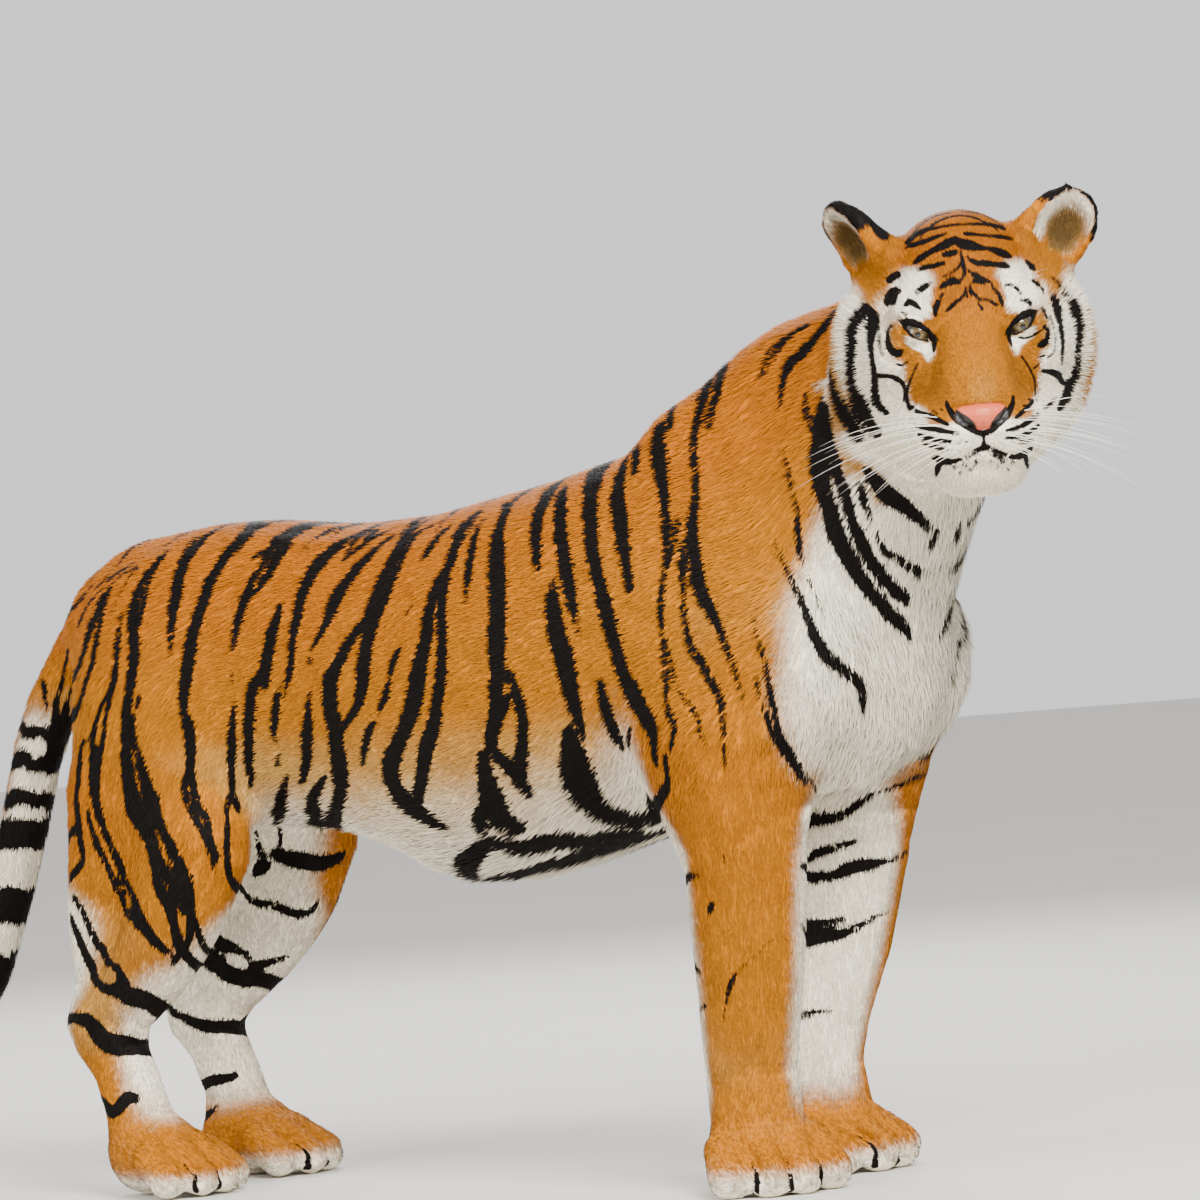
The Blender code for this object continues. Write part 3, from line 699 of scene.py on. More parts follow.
def mesh_of(name, places, faces):
    """A mesh of triangles from arrays of places and of corner numbers."""
    mesh = bpy.data.meshes.new(name)
    mesh.vertices.add(len(places))
    mesh.vertices.foreach_set("co", places.astype(np.float32).ravel())
    mesh.loops.add(faces.size)
    mesh.loops.foreach_set("vertex_index", faces.astype(np.int32).ravel())
    mesh.polygons.add(len(faces))
    mesh.polygons.foreach_set("loop_start", np.arange(0, faces.size, 3, dtype=np.int32))
    mesh.update(calc_edges=True)
    return mesh


PATCH = 0.0015  # half the width of a tuft's patch on the unwrap
RIDGE = 0.12  # how far a tuft's ridge stands up, in shares of its width
ROUNDNESS = 0.75  # how far a tuft's light turns from its ridge to its edges
# How far single tufts differ: in length, width and tone, and in lift, in shares of the coat's depth there.
LENGTH_SPREAD, WIDTH_SPREAD, TONE_SPREAD, LIFT_SPREAD = (0.72, 1.18), (0.75, 1.25), (0.74, 1.08), (0.55, 1.25)
SWING, LOCKS_SWING = math.radians(7), math.radians(9)  # of single tufts, and of locks that lie together
LOCK, SHADE_LOCK = 0.035, 0.011  # how long the waves of the locks and of their shades are
SUNK, SUNK_SHARE = 0.15 * MM, 0.1  # how far roots lie in the skin, by itself and with the coat's depth


class Bed:
    """The part of the skin that one piece of the coat grows from, with an unwrap of its own shape."""

    def __init__(self, skin, faces, fields):
        used, corners = np.unique(skin.faces[faces], return_inverse=True)
        self.faces = corners.reshape(-1, 3)
        self.points, self.normals = skin.points[used], skin.normals[used]
        self.fields = {name: values[used] for name, values in fields.items()}
        self.unwrap()

    def unwrap(self):
        """Keeps the place of each face's corners on an unwrap of this part of the skin."""
        mesh = mesh_of("bed", self.points, self.faces)
        thing = linked("bed", mesh)
        bpy.context.view_layer.objects.active = thing
        bpy.ops.object.select_all(action="DESELECT")
        thing.select_set(True)
        mesh.uv_layers.new(name="OFBake")
        bpy.ops.object.mode_set(mode="EDIT")
        bpy.ops.mesh.select_all(action="SELECT")
        bpy.ops.uv.smart_project(angle_limit=math.radians(66), island_margin=0.004)
        bpy.ops.object.mode_set(mode="OBJECT")
        places = np.empty(len(mesh.loops) * 2, np.float32)
        mesh.uv_layers["OFBake"].data.foreach_get("uv", places)
        self.places = places.reshape(-1, 3, 2).astype(float)
        bpy.data.objects.remove(thing)
        bpy.data.meshes.remove(mesh)

    def roots(self):
        """Where tufts grow, at random over the faces, as the face's number and the shares of its corners."""
        a, b, c = (self.points[self.faces[:, i]] for i in range(3))
        area = np.linalg.norm(np.cross(b - a, c - a), axis=1) / 2
        expected = area * self.fields["sizes"][self.faces, 3].mean(axis=1)
        expected *= 1 - self.fields["bare"][self.faces].mean(axis=1)
        count = RANDOM.poisson(expected)
        face = np.repeat(np.arange(len(count)), count)
        first, second = RANDOM.random((2, len(face)))
        over = first + second > 1
        first[over], second[over] = 1 - first[over], 1 - second[over]
        return face, np.column_stack([1 - first - second, first, second])

    def read(self, values, face, shares):
        """Values of the skin's points at the roots."""
        return np.einsum("nk,nk...->n...", shares, values[self.faces[face]])


def waves(points, size):
    """A gentle pattern from -1 to 1 over the body whose waves are about so long."""
    turns = np.array(((1.0, 0.31, 0.57), (-0.42, 1.0, 0.73), (0.66, -0.58, 1.0)))
    return np.sin(points @ turns.T / size).mean(axis=1) * 1.5


def spread(ways, amounts, shares):
    """Each tuft's own way and amount, in the share that each of its points takes."""
    return ways[:, None] * amounts[:, None, None] * shares[:, None]


def stripe_along(root, run, dark, along):
    """How far the tufts' points lie from black, from the markings under their roots, middles and tips."""
    start, half_way, end = (off_marks(root + run * share) for share in (0.1, 0.5, 0.9))
    ends = np.minimum(np.column_stack([start, end]), half_way[:, None] + 1.0 * MM)
    return np.minimum(ends, dark[:, None]) @ np.array((1 - along, along))


def coat_piece(name, bed, finish):
    """One piece of the coat: a tuft at each root, lying along the coat and lifted to its depth."""
    face, shares = bed.roots()
    here = {field: bed.read(values, face, shares) for field, values in bed.fields.items()}
    root, up = bed.read(bed.points, face, shares), unit(bed.read(bed.normals, face, shares))
    lie, count = on_surface(here["lie"], up), len(root)
    length, width, depth, _ = here["sizes"].T
    length = length * RANDOM.uniform(*LENGTH_SPREAD, count)
    width = width * RANDOM.uniform(*WIDTH_SPREAD, count)
    lift = np.clip(depth * RANDOM.uniform(*LIFT_SPREAD, count) / length, 0.02, 0.9)
    swing = RANDOM.normal(0, SWING, count) + LOCKS_SWING * waves(root, LOCK)
    lie = lie * np.cos(swing)[:, None] + np.cross(up, lie) * np.sin(swing)[:, None]
    side = np.cross(up, lie)
    # Each tuft's own tone, gently waved in locks, times dim, which holds painted shade beside the bridge and
    # in the ears' hollows.
    tone_and_shade = RANDOM.uniform(*TONE_SPREAD, count) * (1 + 0.06 * waves(root, SHADE_LOCK)) * here["dim"]

    places, faces = tuft_shape()
    high, beside, along = places.T
    out = root[:, None] - up[:, None] * (SUNK + SUNK_SHARE * depth)[:, None, None]
    out = out + spread(lie, length * np.sqrt(1 - lift**2), along) + spread(up, length * lift, along)
    out = out + spread(side, width / 2, beside) * 1.15 + spread(up, width * RIDGE, high)
    corners = (faces[None] + np.arange(count)[:, None, None] * len(places)).reshape(-1, 3)
    mesh = mesh_of(name, out.reshape(-1, 3), corners)
    mesh.shade_smooth()
    light = up[:, None] + side[:, None] * (ROUNDNESS * beside)[:, None]
    mesh.normals_split_custom_set_from_vertices(unit(light.reshape(-1, 3)))

    for field in ("white", "pale"):
        store(mesh, field, np.repeat(here[field], len(places)))
    store(mesh, "stripe", stripe_along(root, lie * length[:, None], here["dark"], along).ravel())
    store(mesh, "tone_and_shade", np.repeat(tone_and_shade, len(places)))
    store(mesh, "along", np.tile(along, count))
    spot = np.einsum("nk,nkc->nc", shares, bed.places[face])
    spots = (spot[:, None] + np.column_stack([beside, along * 2 - 1]) * PATCH).reshape(-1, 2)
    layer = mesh.uv_layers.new(name="OFBake")
    layer.data.foreach_set("uv", spots[corners.ravel()].astype(np.float32).ravel())
    piece = shown(mesh, name, finish)


# ---------------------------------------------------------------- the markings


class Markings:
    """Strokes over the body. signed() tells how far points lie from the nearest, less than 0 inside it.

    Strokes of like width share a tree, so that a broad one isn't lost behind a thin one.
    """

    WIDTHS = (0.0, 0.0035, 0.0075, 1.0)

    def __init__(self, bolder, laid=None):
        self.places, self.halves, self.bolder = [], [], bolder
        self.laid = laid or (lambda points: points)  # brings points to where distances are measured

    def add(self, places, halves):
        self.places.append(self.laid(places))
        self.halves.append(halves)

    def finish(self):
        places, halves = np.concatenate(self.places), np.concatenate(self.halves)
        self.trees = []
        for low, high in zip(self.WIDTHS, self.WIDTHS[1:]):
            rows = np.flatnonzero((halves >= low) & (halves < high))
            tree = KDTree(len(rows))
            for number in rows:
                tree.insert(places[number], number)
            tree.balance()
            self.trees.append(tree)
        self.halves = halves

    def signed(self, points):
        found, points = np.full(len(points), 1.0), self.laid(points)
        for tree in self.trees:
            nearest = (tree.find_n(point, 2) for point in points)
            found = np.minimum(found, [min(far - self.halves[at] for _, at, far in pair) for pair in nearest])
        return found


BACKWARD = 0.3  # how far a step back counts on the face, whose strokes are seen from in front


def seen_from_front(points):
    return to_head(points) * (BACKWARD, 1, 1)


BODY_MARKS, FACE_MARKS = Markings(1.08), Markings(1.12, seen_from_front)


def off_marks(points):
    """How far points lie from the nearest marking of the body or the face, less than 0 inside it."""
    found = BODY_MARKS.signed(points)
    near = np.linalg.norm(points - HEAD_AT, axis=1) < 0.23
    found[near] = np.minimum(found[near], FACE_MARKS.signed(points[near]))
    return found


def rounded_run(rows, counts):
    """Rows along a smooth line through the given ones, so many in each of its runs."""
    rows = np.array(rows, float)
    padded = np.concatenate([2 * rows[:1] - rows[1:2], rows, 2 * rows[-1:] - rows[-2:-1]])
    out = []
    for number, count in enumerate(counts):
        before, start, end, after = padded[number : number + 4]
        t = np.linspace(0, 1, count, endpoint=False)[:, None]
        curve = 2 * start + (end - before) * t + (2 * before - 5 * start + 4 * end - after) * t**2
        out.append((curve + (3 * start - before - 3 * end + after) * t**3) / 2)
    return np.concatenate([*out, rows[-1:]])


def lay(stroke, placed, marks=BODY_MARKS):
    """Adds one stroke: placed() turns its rows into places on the skin and tells which of them are found."""
    stroke = np.array(stroke, float) * (1, 1, marks.bolder)
    rough, _ = placed(rounded_run(stroke, [4] * (len(stroke) - 1)))
    runs = np.linalg.norm(np.diff(rough, axis=0), axis=1).reshape(-1, 4).sum(axis=1)
    halves = stroke[:, 2]
    step = np.clip((halves[:-1] + halves[1:]) / 5, 0.7, 2.5) * MM
    rows = rounded_run(stroke, np.clip(np.ceil(runs / step), 2, 90).astype(int))
    places, found = placed(rows)
    if found.any():
        marks.add(places[found], np.maximum(rows[found, 2], 0.6) * MM)


class Limb:
    """A bent axis with a way that counts as its front.

    Places round it are centimetres along it and degrees from its front, which grow towards the animal's right
    where side is 1 and towards its left where it is -1. Rays from it reach so many metres.
    """

    def __init__(self, line, front, side=1, reach=0.5):
        self.line = np.array(line, float)
        runs = np.diff(self.line, axis=0)
        self.marks = np.concatenate([[0], np.cumsum(np.linalg.norm(runs, axis=1))])
        ways = unit(runs)
        self.ways = unit(np.concatenate([ways[:1], ways[:-1] + ways[1:], ways[-1:]]))
        self.front, self.side, self.reach = np.array(front, float), side, reach

    def axes(self, along):
        at = np.column_stack([np.interp(along, self.marks, self.line[:, i]) for i in range(3)])
        way = unit(np.column_stack([np.interp(along, self.marks, self.ways[:, i]) for i in range(3)]))
        front = unit(self.front - way * (way @ self.front)[:, None])
        return at, way, front, np.cross(way, front) * self.side

    def on(self, tree, inside=(-400, 400)):
        """A function that puts rows of along, round and half width on the skin, where round lies inside."""

        def placed(rows):
            at, _, front, beside = self.axes(rows[:, 0] / 100)
            turn = np.radians(rows[:, 1])[:, None]
            ways = front * np.cos(turn) + beside * np.sin(turn)
            hits = [tree.ray_cast(Vector(a), Vector(b), self.reach)[0] for a, b in zip(at, ways)]
            found = np.array([hit is not None for hit in hits])
            found &= (rows[:, 1] > inside[0]) & (rows[:, 1] < inside[1])
            places = [hit or Vector(a + b * 0.1) for hit, a, b in zip(hits, at, ways)]
            return np.array([place[:] for place in places]), found

        return placed

    def measure(self, points):
        """How far along the axis, in cm, and round it, in degrees, the points lie."""
        least = np.full(len(points), np.inf)
        along = np.zeros(len(points))
        for start, end, mark in zip(self.line[:-1], self.line[1:], self.marks):
            run = end - start
            share = np.clip((points - start) @ run / (run @ run), 0, 1)
            far = np.linalg.norm(points - start - share[:, None] * run, axis=1)
            nearer = far < least
            along[nearer], least[nearer] = (mark + share * np.linalg.norm(run))[nearer], far[nearer]
        at, _, front, beside = self.axes(along)
        off = points - at
        return along * 100, np.degrees(np.arctan2((off * beside).sum(axis=1), (off * front).sum(axis=1)))


TRUNK_LINE = (
    (-0.60, 0, 0.70), (-0.30, 0, 0.66), (0, 0, 0.64), (0.30, 0, 0.66), (0.50, 0, 0.70), (0.64, 0, 0.76),
    (0.76, -0.01, 0.845), (0.86, -0.03, 0.94),
)
FORELEG_RIGHT = (
    (0.601, -0.125, 0.54), (0.603, -0.125, 0.42), (0.594, -0.119, 0.29), (0.579, -0.113, 0.16),
    (0.583, -0.115, 0.075),
)
FORELEG_LEFT = (
    (0.601, 0.131, 0.54), (0.583, 0.131, 0.42), (0.555, 0.125, 0.29), (0.531, 0.099, 0.16),
    (0.535, 0.101, 0.075),
)
HINDLEG_RIGHT = (
    (-0.36, -0.105, 0.60), (-0.34, -0.11, 0.47), (-0.36, -0.115, 0.36), (-0.42, -0.112, 0.25),
    (-0.435, -0.11, 0.17), (-0.41, -0.112, 0.08), (-0.37, -0.112, 0.03),
)
HINDLEG_LEFT = (
    (-0.36, 0.105, 0.60), (-0.345, 0.11, 0.47), (-0.37, 0.115, 0.36), (-0.435, 0.112, 0.25),
    (-0.455, 0.11, 0.17), (-0.435, 0.112, 0.08), (-0.40, 0.112, 0.03),
)
TAIL = (
    (-0.419, 0, 0.768), (-0.501, 0, 0.736), (-0.572, 0, 0.684), (-0.634, 0, 0.61), (-0.677, 0, 0.50),
    (-0.724, 0, 0.385), (-0.784, 0, 0.27), (-0.869, 0, 0.185), (-0.969, 0, 0.17), (-1.044, 0, 0.225),
)
UP, AHEAD = (0, 0, 1), (1, 0, 0)
LIMBS = {
    "trunk_right": Limb(TRUNK_LINE, UP, 1),
    "trunk_left": Limb(TRUNK_LINE, UP, -1),
    "foreleg_right": Limb(FORELEG_RIGHT, AHEAD, 1, 0.16),
    "foreleg_left": Limb(FORELEG_LEFT, AHEAD, -1, 0.16),
    "hindleg_right": Limb(HINDLEG_RIGHT, AHEAD, 1, 0.22),
    "hindleg_left": Limb(HINDLEG_LEFT, AHEAD, -1, 0.22),
    "tail": Limb(TAIL, AHEAD, -1, 0.12),
}

# Each stroke is a run of rows of three: centimetres along the limb, degrees round it, half width in mm.
FLANK = (
    ((5.5, 26, 5), (7.5, 35, 6), (10, 40, 4), (13, 38, 2)),
    ((11, 37, 2), (13.5, 33, 3)),
    ((15.5, 38, 3), (17.5, 35, 3)),
    ((18.7, 37, 4), (20.5, 34, 7), (21.7, 30, 4)),
    ((14, 57, 4), (14.3, 50, 5), (15.2, 46, 3), (17.5, 43, 2), (20, 42, 1.5)),
    ((19, 43, 2), (21.5, 39, 2), (23.7, 34, 3)),
    ((22.6, 58, 1.5), (22.9, 49, 2), (23.5, 42, 2.5), (24.2, 35, 2)),
    (
        (20.3, 44, 4), (19, 50, 6), (18.2, 60, 6.5), (17.6, 70, 7), (16.7, 81, 7.5), (14.5, 90, 7),
        (11.5, 88, 5), (9.3, 88, 4), (8, 95, 4), (6.8, 109, 3.5), (6, 125, 3), (5, 142, 3),
    ),
    (
        (20.4, 45, 3), (20.2, 60, 5), (20.2, 75, 5.5), (19.5, 90, 7), (18, 102, 8), (16, 110, 8),
        (12, 115, 9), (9.3, 119, 6), (7.7, 126, 4), (6.8, 137, 4), (6.2, 150, 4), (5.7, 163, 5),
    ),
    ((9, 66, 2), (7, 68, 4), (6.1, 78, 3), (5.3, 95, 3), (4.6, 113, 3), (4, 130, 4)),
    (
        (24.4, 57, 2), (24.7, 68, 4), (25.2, 80, 5), (25.4, 90, 6), (24.8, 101, 4), (24.2, 110, 4),
        (23.2, 120, 5), (22.3, 129, 6), (22.4, 136, 6), (23.2, 143, 5), (25, 150, 5),
    ),
    ((24.8, 93, 4), (23.5, 101, 4), (22.3, 109, 5), (21.6, 118, 5), (21, 127, 5), (21.7, 134, 5)),
    (
        (21.5, 115, 2), (19.8, 117, 3), (18.6, 122, 4), (18.2, 127, 4), (18.5, 131, 5), (17.8, 136, 6),
        (18.3, 147, 4),
    ),
    ((20.3, 138, 4), (21.3, 143, 5), (23, 150, 4), (25, 154, 3)),
    (
        (27.8, 24, 2), (27.5, 33, 5), (26.4, 43, 5), (26.3, 52, 6), (27.1, 62, 7), (28.2, 74, 8),
        (28.5, 87, 7), (28.2, 100, 7), (28, 112, 7), (28.2, 124, 8), (29, 131, 9), (31, 136, 7),
        (33.5, 140, 6), (35.5, 144, 6), (37, 150, 7),
    ),
    ((27.5, 33, 4), (27.9, 45, 4), (28.1, 55, 5), (27.8, 65, 4)),
    (
        (28.9, 104, 4), (29.5, 113, 4), (30.4, 121, 5), (31.6, 128, 6), (33.5, 134, 5), (36, 138, 4),
        (37.7, 144, 5), (37.7, 150, 6), (36.5, 155, 5), (34, 157, 4),
    ),
    ((30, 94, 3), (30.1, 100, 3)),
    ((30.6, 18, 3), (31, 24, 3), (31.8, 30, 4)),
    (
        (33, 14, 3), (32.5, 20, 6), (32.3, 28, 8), (32.8, 38, 8), (33.5, 50, 7), (33.8, 60, 5),
        (34.1, 70, 3), (34.2, 78, 1),
    ),
    (
        (35.5, -3, 6), (37.5, 4, 9), (39.3, 13, 9), (40.1, 22, 9), (39.2, 30, 8), (38.5, 42, 8),
        (38, 55, 8), (37.3, 67, 8), (37.1, 80, 8), (36.7, 93, 7), (36.7, 102, 5), (37.4, 110, 7),
        (37.4, 121, 6), (37.2, 128, 6), (38.5, 134, 4), (40.3, 139, 4), (41.3, 145, 4),
    ),
    (
        (50, 2, 7), (48.3, 9, 11), (47.9, 17, 9), (48.2, 27, 9), (48.1, 37, 6), (47, 45, 4), (45.6, 49, 4),
        (44.9, 54, 6), (44.5, 63, 5), (44.2, 72, 3),
    ),
    ((46.2, 33, 2), (45.6, 40, 4), (45, 49, 6)),
    ((44.2, 31, 3), (45, 28, 3)),
    ((49, 28, 3), (50, 24, 2)),
    ((56, 8, 3), (53.7, 12, 4), (52.8, 17, 4), (52.4, 26, 2)),
    ((51.6, 51, 3), (50.9, 60, 7), (50.1, 72, 8), (49.4, 83, 8), (49.2, 93, 2)),
    (
        (49, 83, 6), (47.3, 90, 6), (46.5, 99, 7), (45.9, 109, 7), (45.4, 118, 7), (44.4, 130, 5),
        (43.7, 140, 3),
    ),
    ((44, 97, 2), (43.4, 107, 4), (42.9, 117, 5), (42.2, 127, 5), (41.7, 137, 4), (41.9, 144, 4)),
    ((44.2, 83, 2), (44, 88, 3)),
    ((51.4, 90, 2), (50.9, 98, 5), (50.3, 107, 5), (49.7, 117, 3), (50, 121, 2)),
    ((49.8, 124, 2), (48.8, 131, 3)),
    (
        (60.5, 16, 2), (59, 22, 6), (57.2, 30, 12), (55.8, 40, 10), (55.1, 50, 8), (54.7, 61, 7),
        (54.3, 71, 5), (54, 81, 6), (53.2, 88, 4), (52.6, 95, 2),
    ),
    ((57.2, 93, 2), (56.6, 102, 5), (55.8, 113, 9), (54.8, 123, 8), (53.5, 131, 6), (52, 138, 3)),
    ((57, 132, 3), (55, 138, 5), (52.8, 145, 7), (51, 154, 8), (49.5, 163, 8), (47.5, 171, 8)),
    ((50.3, 134, 2), (48.5, 141, 4), (46.8, 149, 6), (44.5, 158, 6), (42.5, 166, 4)),
    ((67.6, 24, 3), (66.2, 31, 6), (64.2, 39, 9), (62, 50, 10), (60.7, 59, 7), (59.3, 67, 4), (57.8, 73, 2)),
    ((57.8, 76, 3), (57.7, 79, 3)),
    ((66, 19, 3), (64.5, 23, 5), (62.7, 28, 4), (60.8, 34, 3)),
    ((62.8, 17, 4), (63.4, 24, 5)),
    ((72.5, 15, 3), (71, 19, 5), (70.8, 28, 6), (70.5, 40, 7), (69.7, 51, 9), (69, 61, 12)),
    (
        (75, 24, 2), (73, 26, 4), (72.4, 33, 5), (72.2, 44, 5), (71.3, 54, 7), (70, 62, 9), (69, 68, 10),
        (68.3, 75, 10), (67.7, 84, 11), (67, 93, 10), (65.8, 101, 7), (64, 106, 5), (62.3, 111, 3),
    ),
    (
        (69, 64, 8), (66.5, 68, 6), (64.6, 74, 7), (62.7, 81, 9), (61.2, 89, 12), (60.9, 100, 13),
        (61.1, 110, 12), (60.8, 119, 13), (60.3, 127, 14), (59, 136, 10), (57, 145, 8), (54.7, 154, 9),
        (52, 164, 9), (50, 171, 8),
    ),
    ((74.5, 79, 3), (73.2, 85, 5), (72.2, 92, 3), (71, 99, 5), (69.3, 106, 2)),
    ((68.7, 108, 3), (67.3, 112, 6), (66, 118, 5), (65, 125, 3)),
    ((79.3, 28, 3), (78, 34, 5), (76.9, 43, 5)),
    ((75.5, 59, 1.5), (76.3, 57, 1.5)),
    ((75.3, 67, 2), (76.5, 63, 1.5)),
    (
        (83.4, 24, 4), (82.2, 32, 7), (82.3, 42, 7), (82.2, 51, 8), (80.6, 57, 7), (79.8, 67, 8),
        (79.1, 77, 9), (78, 87, 11), (76.7, 97, 13), (75, 107, 12), (72.8, 115, 10), (70.5, 122, 12),
        (69.4, 130, 13), (70.8, 138, 14), (73, 143, 10), (75.2, 146, 4),
    ),
    ((83.5, 24, 3), (83.8, 33, 3), (83.5, 41, 2)),
    (
        (82.3, 50, 6), (82, 62, 6), (82, 73, 6), (81.8, 85, 7), (81, 95, 8), (79.7, 105, 8),
        (78.3, 113, 10), (76.4, 120, 11), (74.7, 128, 9), (72.7, 136, 8),
    ),
    ((85.7, 30, 2), (85.9, 44, 5), (86.3, 57, 5), (86.1, 68, 2)),
    (
        (87.8, 23, 3), (89.5, 30, 6), (90.2, 42, 8), (91.2, 54, 11), (91.7, 65, 12), (91.6, 75, 11),
        (90.9, 85, 12), (90.3, 95, 10), (89.3, 104, 9), (88.4, 112, 10), (87, 118, 9), (86.9, 123, 7),
        (88, 129, 9), (88.8, 136, 7), (88.8, 141, 3),
    ),
    ((91.8, 97, 4), (92.3, 104, 6), (92.4, 112, 7), (91.5, 120, 7), (90.3, 126, 7), (89.2, 132, 7)),
    ((89, 112, 5), (90.2, 109, 5), (91.3, 105, 3)),
    ((96.2, 20, 6), (96.9, 29, 10), (97.4, 41, 8), (98, 53, 6), (98.5, 63, 4)),
    ((99.8, 26, 3), (101, 37, 7), (102, 49, 8), (102.8, 61, 8), (103.1, 74, 7), (103.1, 85, 4), (103, 94, 2)),
    (
        (100.6, 68, 2), (100.2, 78, 8), (100, 90, 11), (100, 101, 12), (99.6, 112, 9), (99.2, 121, 6),
        (98.6, 128, 3),
    ),
    (
        (103, 8, 7), (104.5, 16, 14), (105.4, 25, 13), (106.4, 36, 10), (107, 47, 8), (107.4, 60, 8),
        (107.7, 75, 8), (107.9, 88, 9), (107.8, 101, 8), (107.6, 113, 9), (108.3, 122, 12),
        (109.8, 128, 11), (108.7, 134, 8),
    ),
    ((103.9, 111, 4), (103.4, 119, 7), (102.9, 127, 9), (102.7, 134, 5)),
    ((105.5, 128, 3), (103.8, 134, 4)),
    ((97.3, 124, 8), (96.4, 132, 15), (95.4, 141, 20), (94.9, 150, 14), (96.3, 159, 14), (99, 165, 10)),
    ((85, 123, 5), (84.3, 130, 11), (83.8, 137, 16), (83.2, 143, 16), (84.5, 149, 12)),
    ((81, 141, 6), (80, 146, 7), (79.5, 150, 4)),
    ((71, 172, 9), (73, 163, 12), (76, 157, 11), (79, 153, 8)),
    ((80, 152, 8), (83, 157, 12), (87, 158, 16), (91, 163, 16), (95, 168, 12)),
    ((71, 177, 10), (77, 171, 15), (84, 170, 18), (92, 173, 17), (99, 175, 9)),
    ((105, 147, 6), (102.3, 153, 8), (100.8, 160, 11), (102, 166, 6)),
    ((104.5, 147, 5), (107, 142, 7), (109.5, 138, 6), (110.5, 133, 5)),
    (
        (110.8, 24, 4), (111.3, 32, 7), (111.6, 44, 9), (112.1, 55, 9), (112.4, 66, 7), (112.3, 77, 5),
        (112.2, 84, 4),
    ),
    ((115.2, 26, 4), (115.6, 32, 7), (115.4, 38, 4)),
    (
        (121.8, 28, 6), (120.9, 37, 9), (120.5, 48, 7), (119.7, 60, 5), (118.9, 70, 4), (118, 80, 3),
        (116.6, 88, 3), (115.3, 97, 3.5), (114.4, 106, 3), (113.4, 115, 3), (113, 124, 4), (113.3, 128, 5),
        (111.5, 132, 3),
    ),
    ((121.7, 64, 2), (120.5, 70, 3), (119, 78, 3), (118, 82, 3)),
    (
        (121.3, 76, 2), (119.8, 85, 4), (119, 94, 3), (117.8, 104, 3.5), (117.5, 113, 4),
        (118.5, 120, 4.5), (119.2, 129, 3.5), (118, 135, 2.5), (116.5, 140, 1.5),
    ),
    ((114.5, 106, 2), (114.4, 115, 3), (115, 122, 2.5), (116.3, 128, 3), (116, 133, 2)),
    (
        (128.5, 9, 3), (130.3, 14, 5), (130.1, 22, 6), (129, 31, 4), (127, 40, 4), (126, 50, 4),
        (125, 60, 4), (123.3, 70, 6), (122.3, 80, 7), (121.5, 90, 7), (121, 101, 7), (121.7, 110, 6),
        (122.1, 119, 4), (121.8, 127, 3), (121.4, 133, 1.5),
    ),
    ((130, 6, 3), (132.3, 9, 5), (133.6, 16, 6), (133, 23, 5), (131.5, 30, 4), (130.3, 36, 3)),
    ((121.5, 14, 3), (123, 19, 4), (123.8, 25, 4), (123.8, 31, 4)),
    ((126.1, 117, 1.5), (125.5, 127, 3), (123.8, 136, 3), (122, 144, 3.5), (121, 150, 5), (120, 157, 4)),
    ((123.6, 130, 1.5), (122.5, 137, 2.5), (121.4, 144, 3), (120.9, 149, 3)),
    (
        (131.7, 100, 1), (131.3, 108, 2.5), (131.2, 120, 3), (130.9, 131, 3.5), (130, 140, 6),
        (129.7, 148, 5), (129, 156, 5), (127, 161, 3.5),
    ),
    (
        (139, 58, 1.2), (138.7, 68, 2), (138, 79, 3), (136.6, 93, 2.5), (135.2, 103, 3), (133.7, 112, 3.5),
        (132.8, 120, 2), (132.3, 129, 2), (131.6, 138, 1.2),
    ),
    (
        (152.5, 12, 3), (151.5, 19, 5), (149.5, 24, 6), (147.3, 29, 8), (145, 31, 7), (143, 35, 4),
        (141.3, 41, 3), (140.5, 44, 1.5),
    ),
    ((149, 17, 3), (146, 20, 3.5), (144, 24, 3), (141.5, 29, 2)),
    ((145.5, 19, 2), (143, 22, 3), (141.5, 27, 2), (139.5, 29, 1)),
    ((145.2, 48, 3), (144.5, 55, 4), (144, 65, 3.5), (143.5, 74, 2)),
    (
        (147.5, 63, 4), (146.5, 69, 8), (145, 76, 9), (143.2, 83, 10), (141.9, 92, 12), (140.4, 101, 10),
        (139.2, 111, 8), (137.8, 121, 10), (136.8, 131, 9), (135.8, 142, 8), (135, 153, 6),
        (134.3, 163, 6), (133.5, 172, 5),
    ),
    (
        (147.3, 70, 6), (146.2, 79, 7), (145.2, 87, 6), (144.2, 96, 6), (143, 106, 5), (141.7, 115, 6),
        (140, 127, 5), (138.7, 137, 7), (137.6, 146, 6), (136.7, 156, 6), (136, 168, 5),
    ),
    ((140.3, 141, 2), (139.3, 150, 3.5), (139.2, 160, 4), (138.6, 170, 4)),
    ((144, 118, 3), (142.7, 127, 4), (141.3, 136, 2)),
    ((146, 118, 5), (145.5, 128, 9), (145, 138, 10), (144.8, 148, 8), (144.2, 158, 5), (143.5, 167, 4)),
    ((141.5, 170, 4), (143, 172, 5)),
    ((152, 53, 2), (151, 62, 3.5), (150.2, 72, 3), (149, 84, 2)),
    ((154.5, 50, 5), (153, 62, 6), (151.7, 72, 6), (150.6, 83, 7), (149.7, 93, 9), (149, 104, 8)),
)

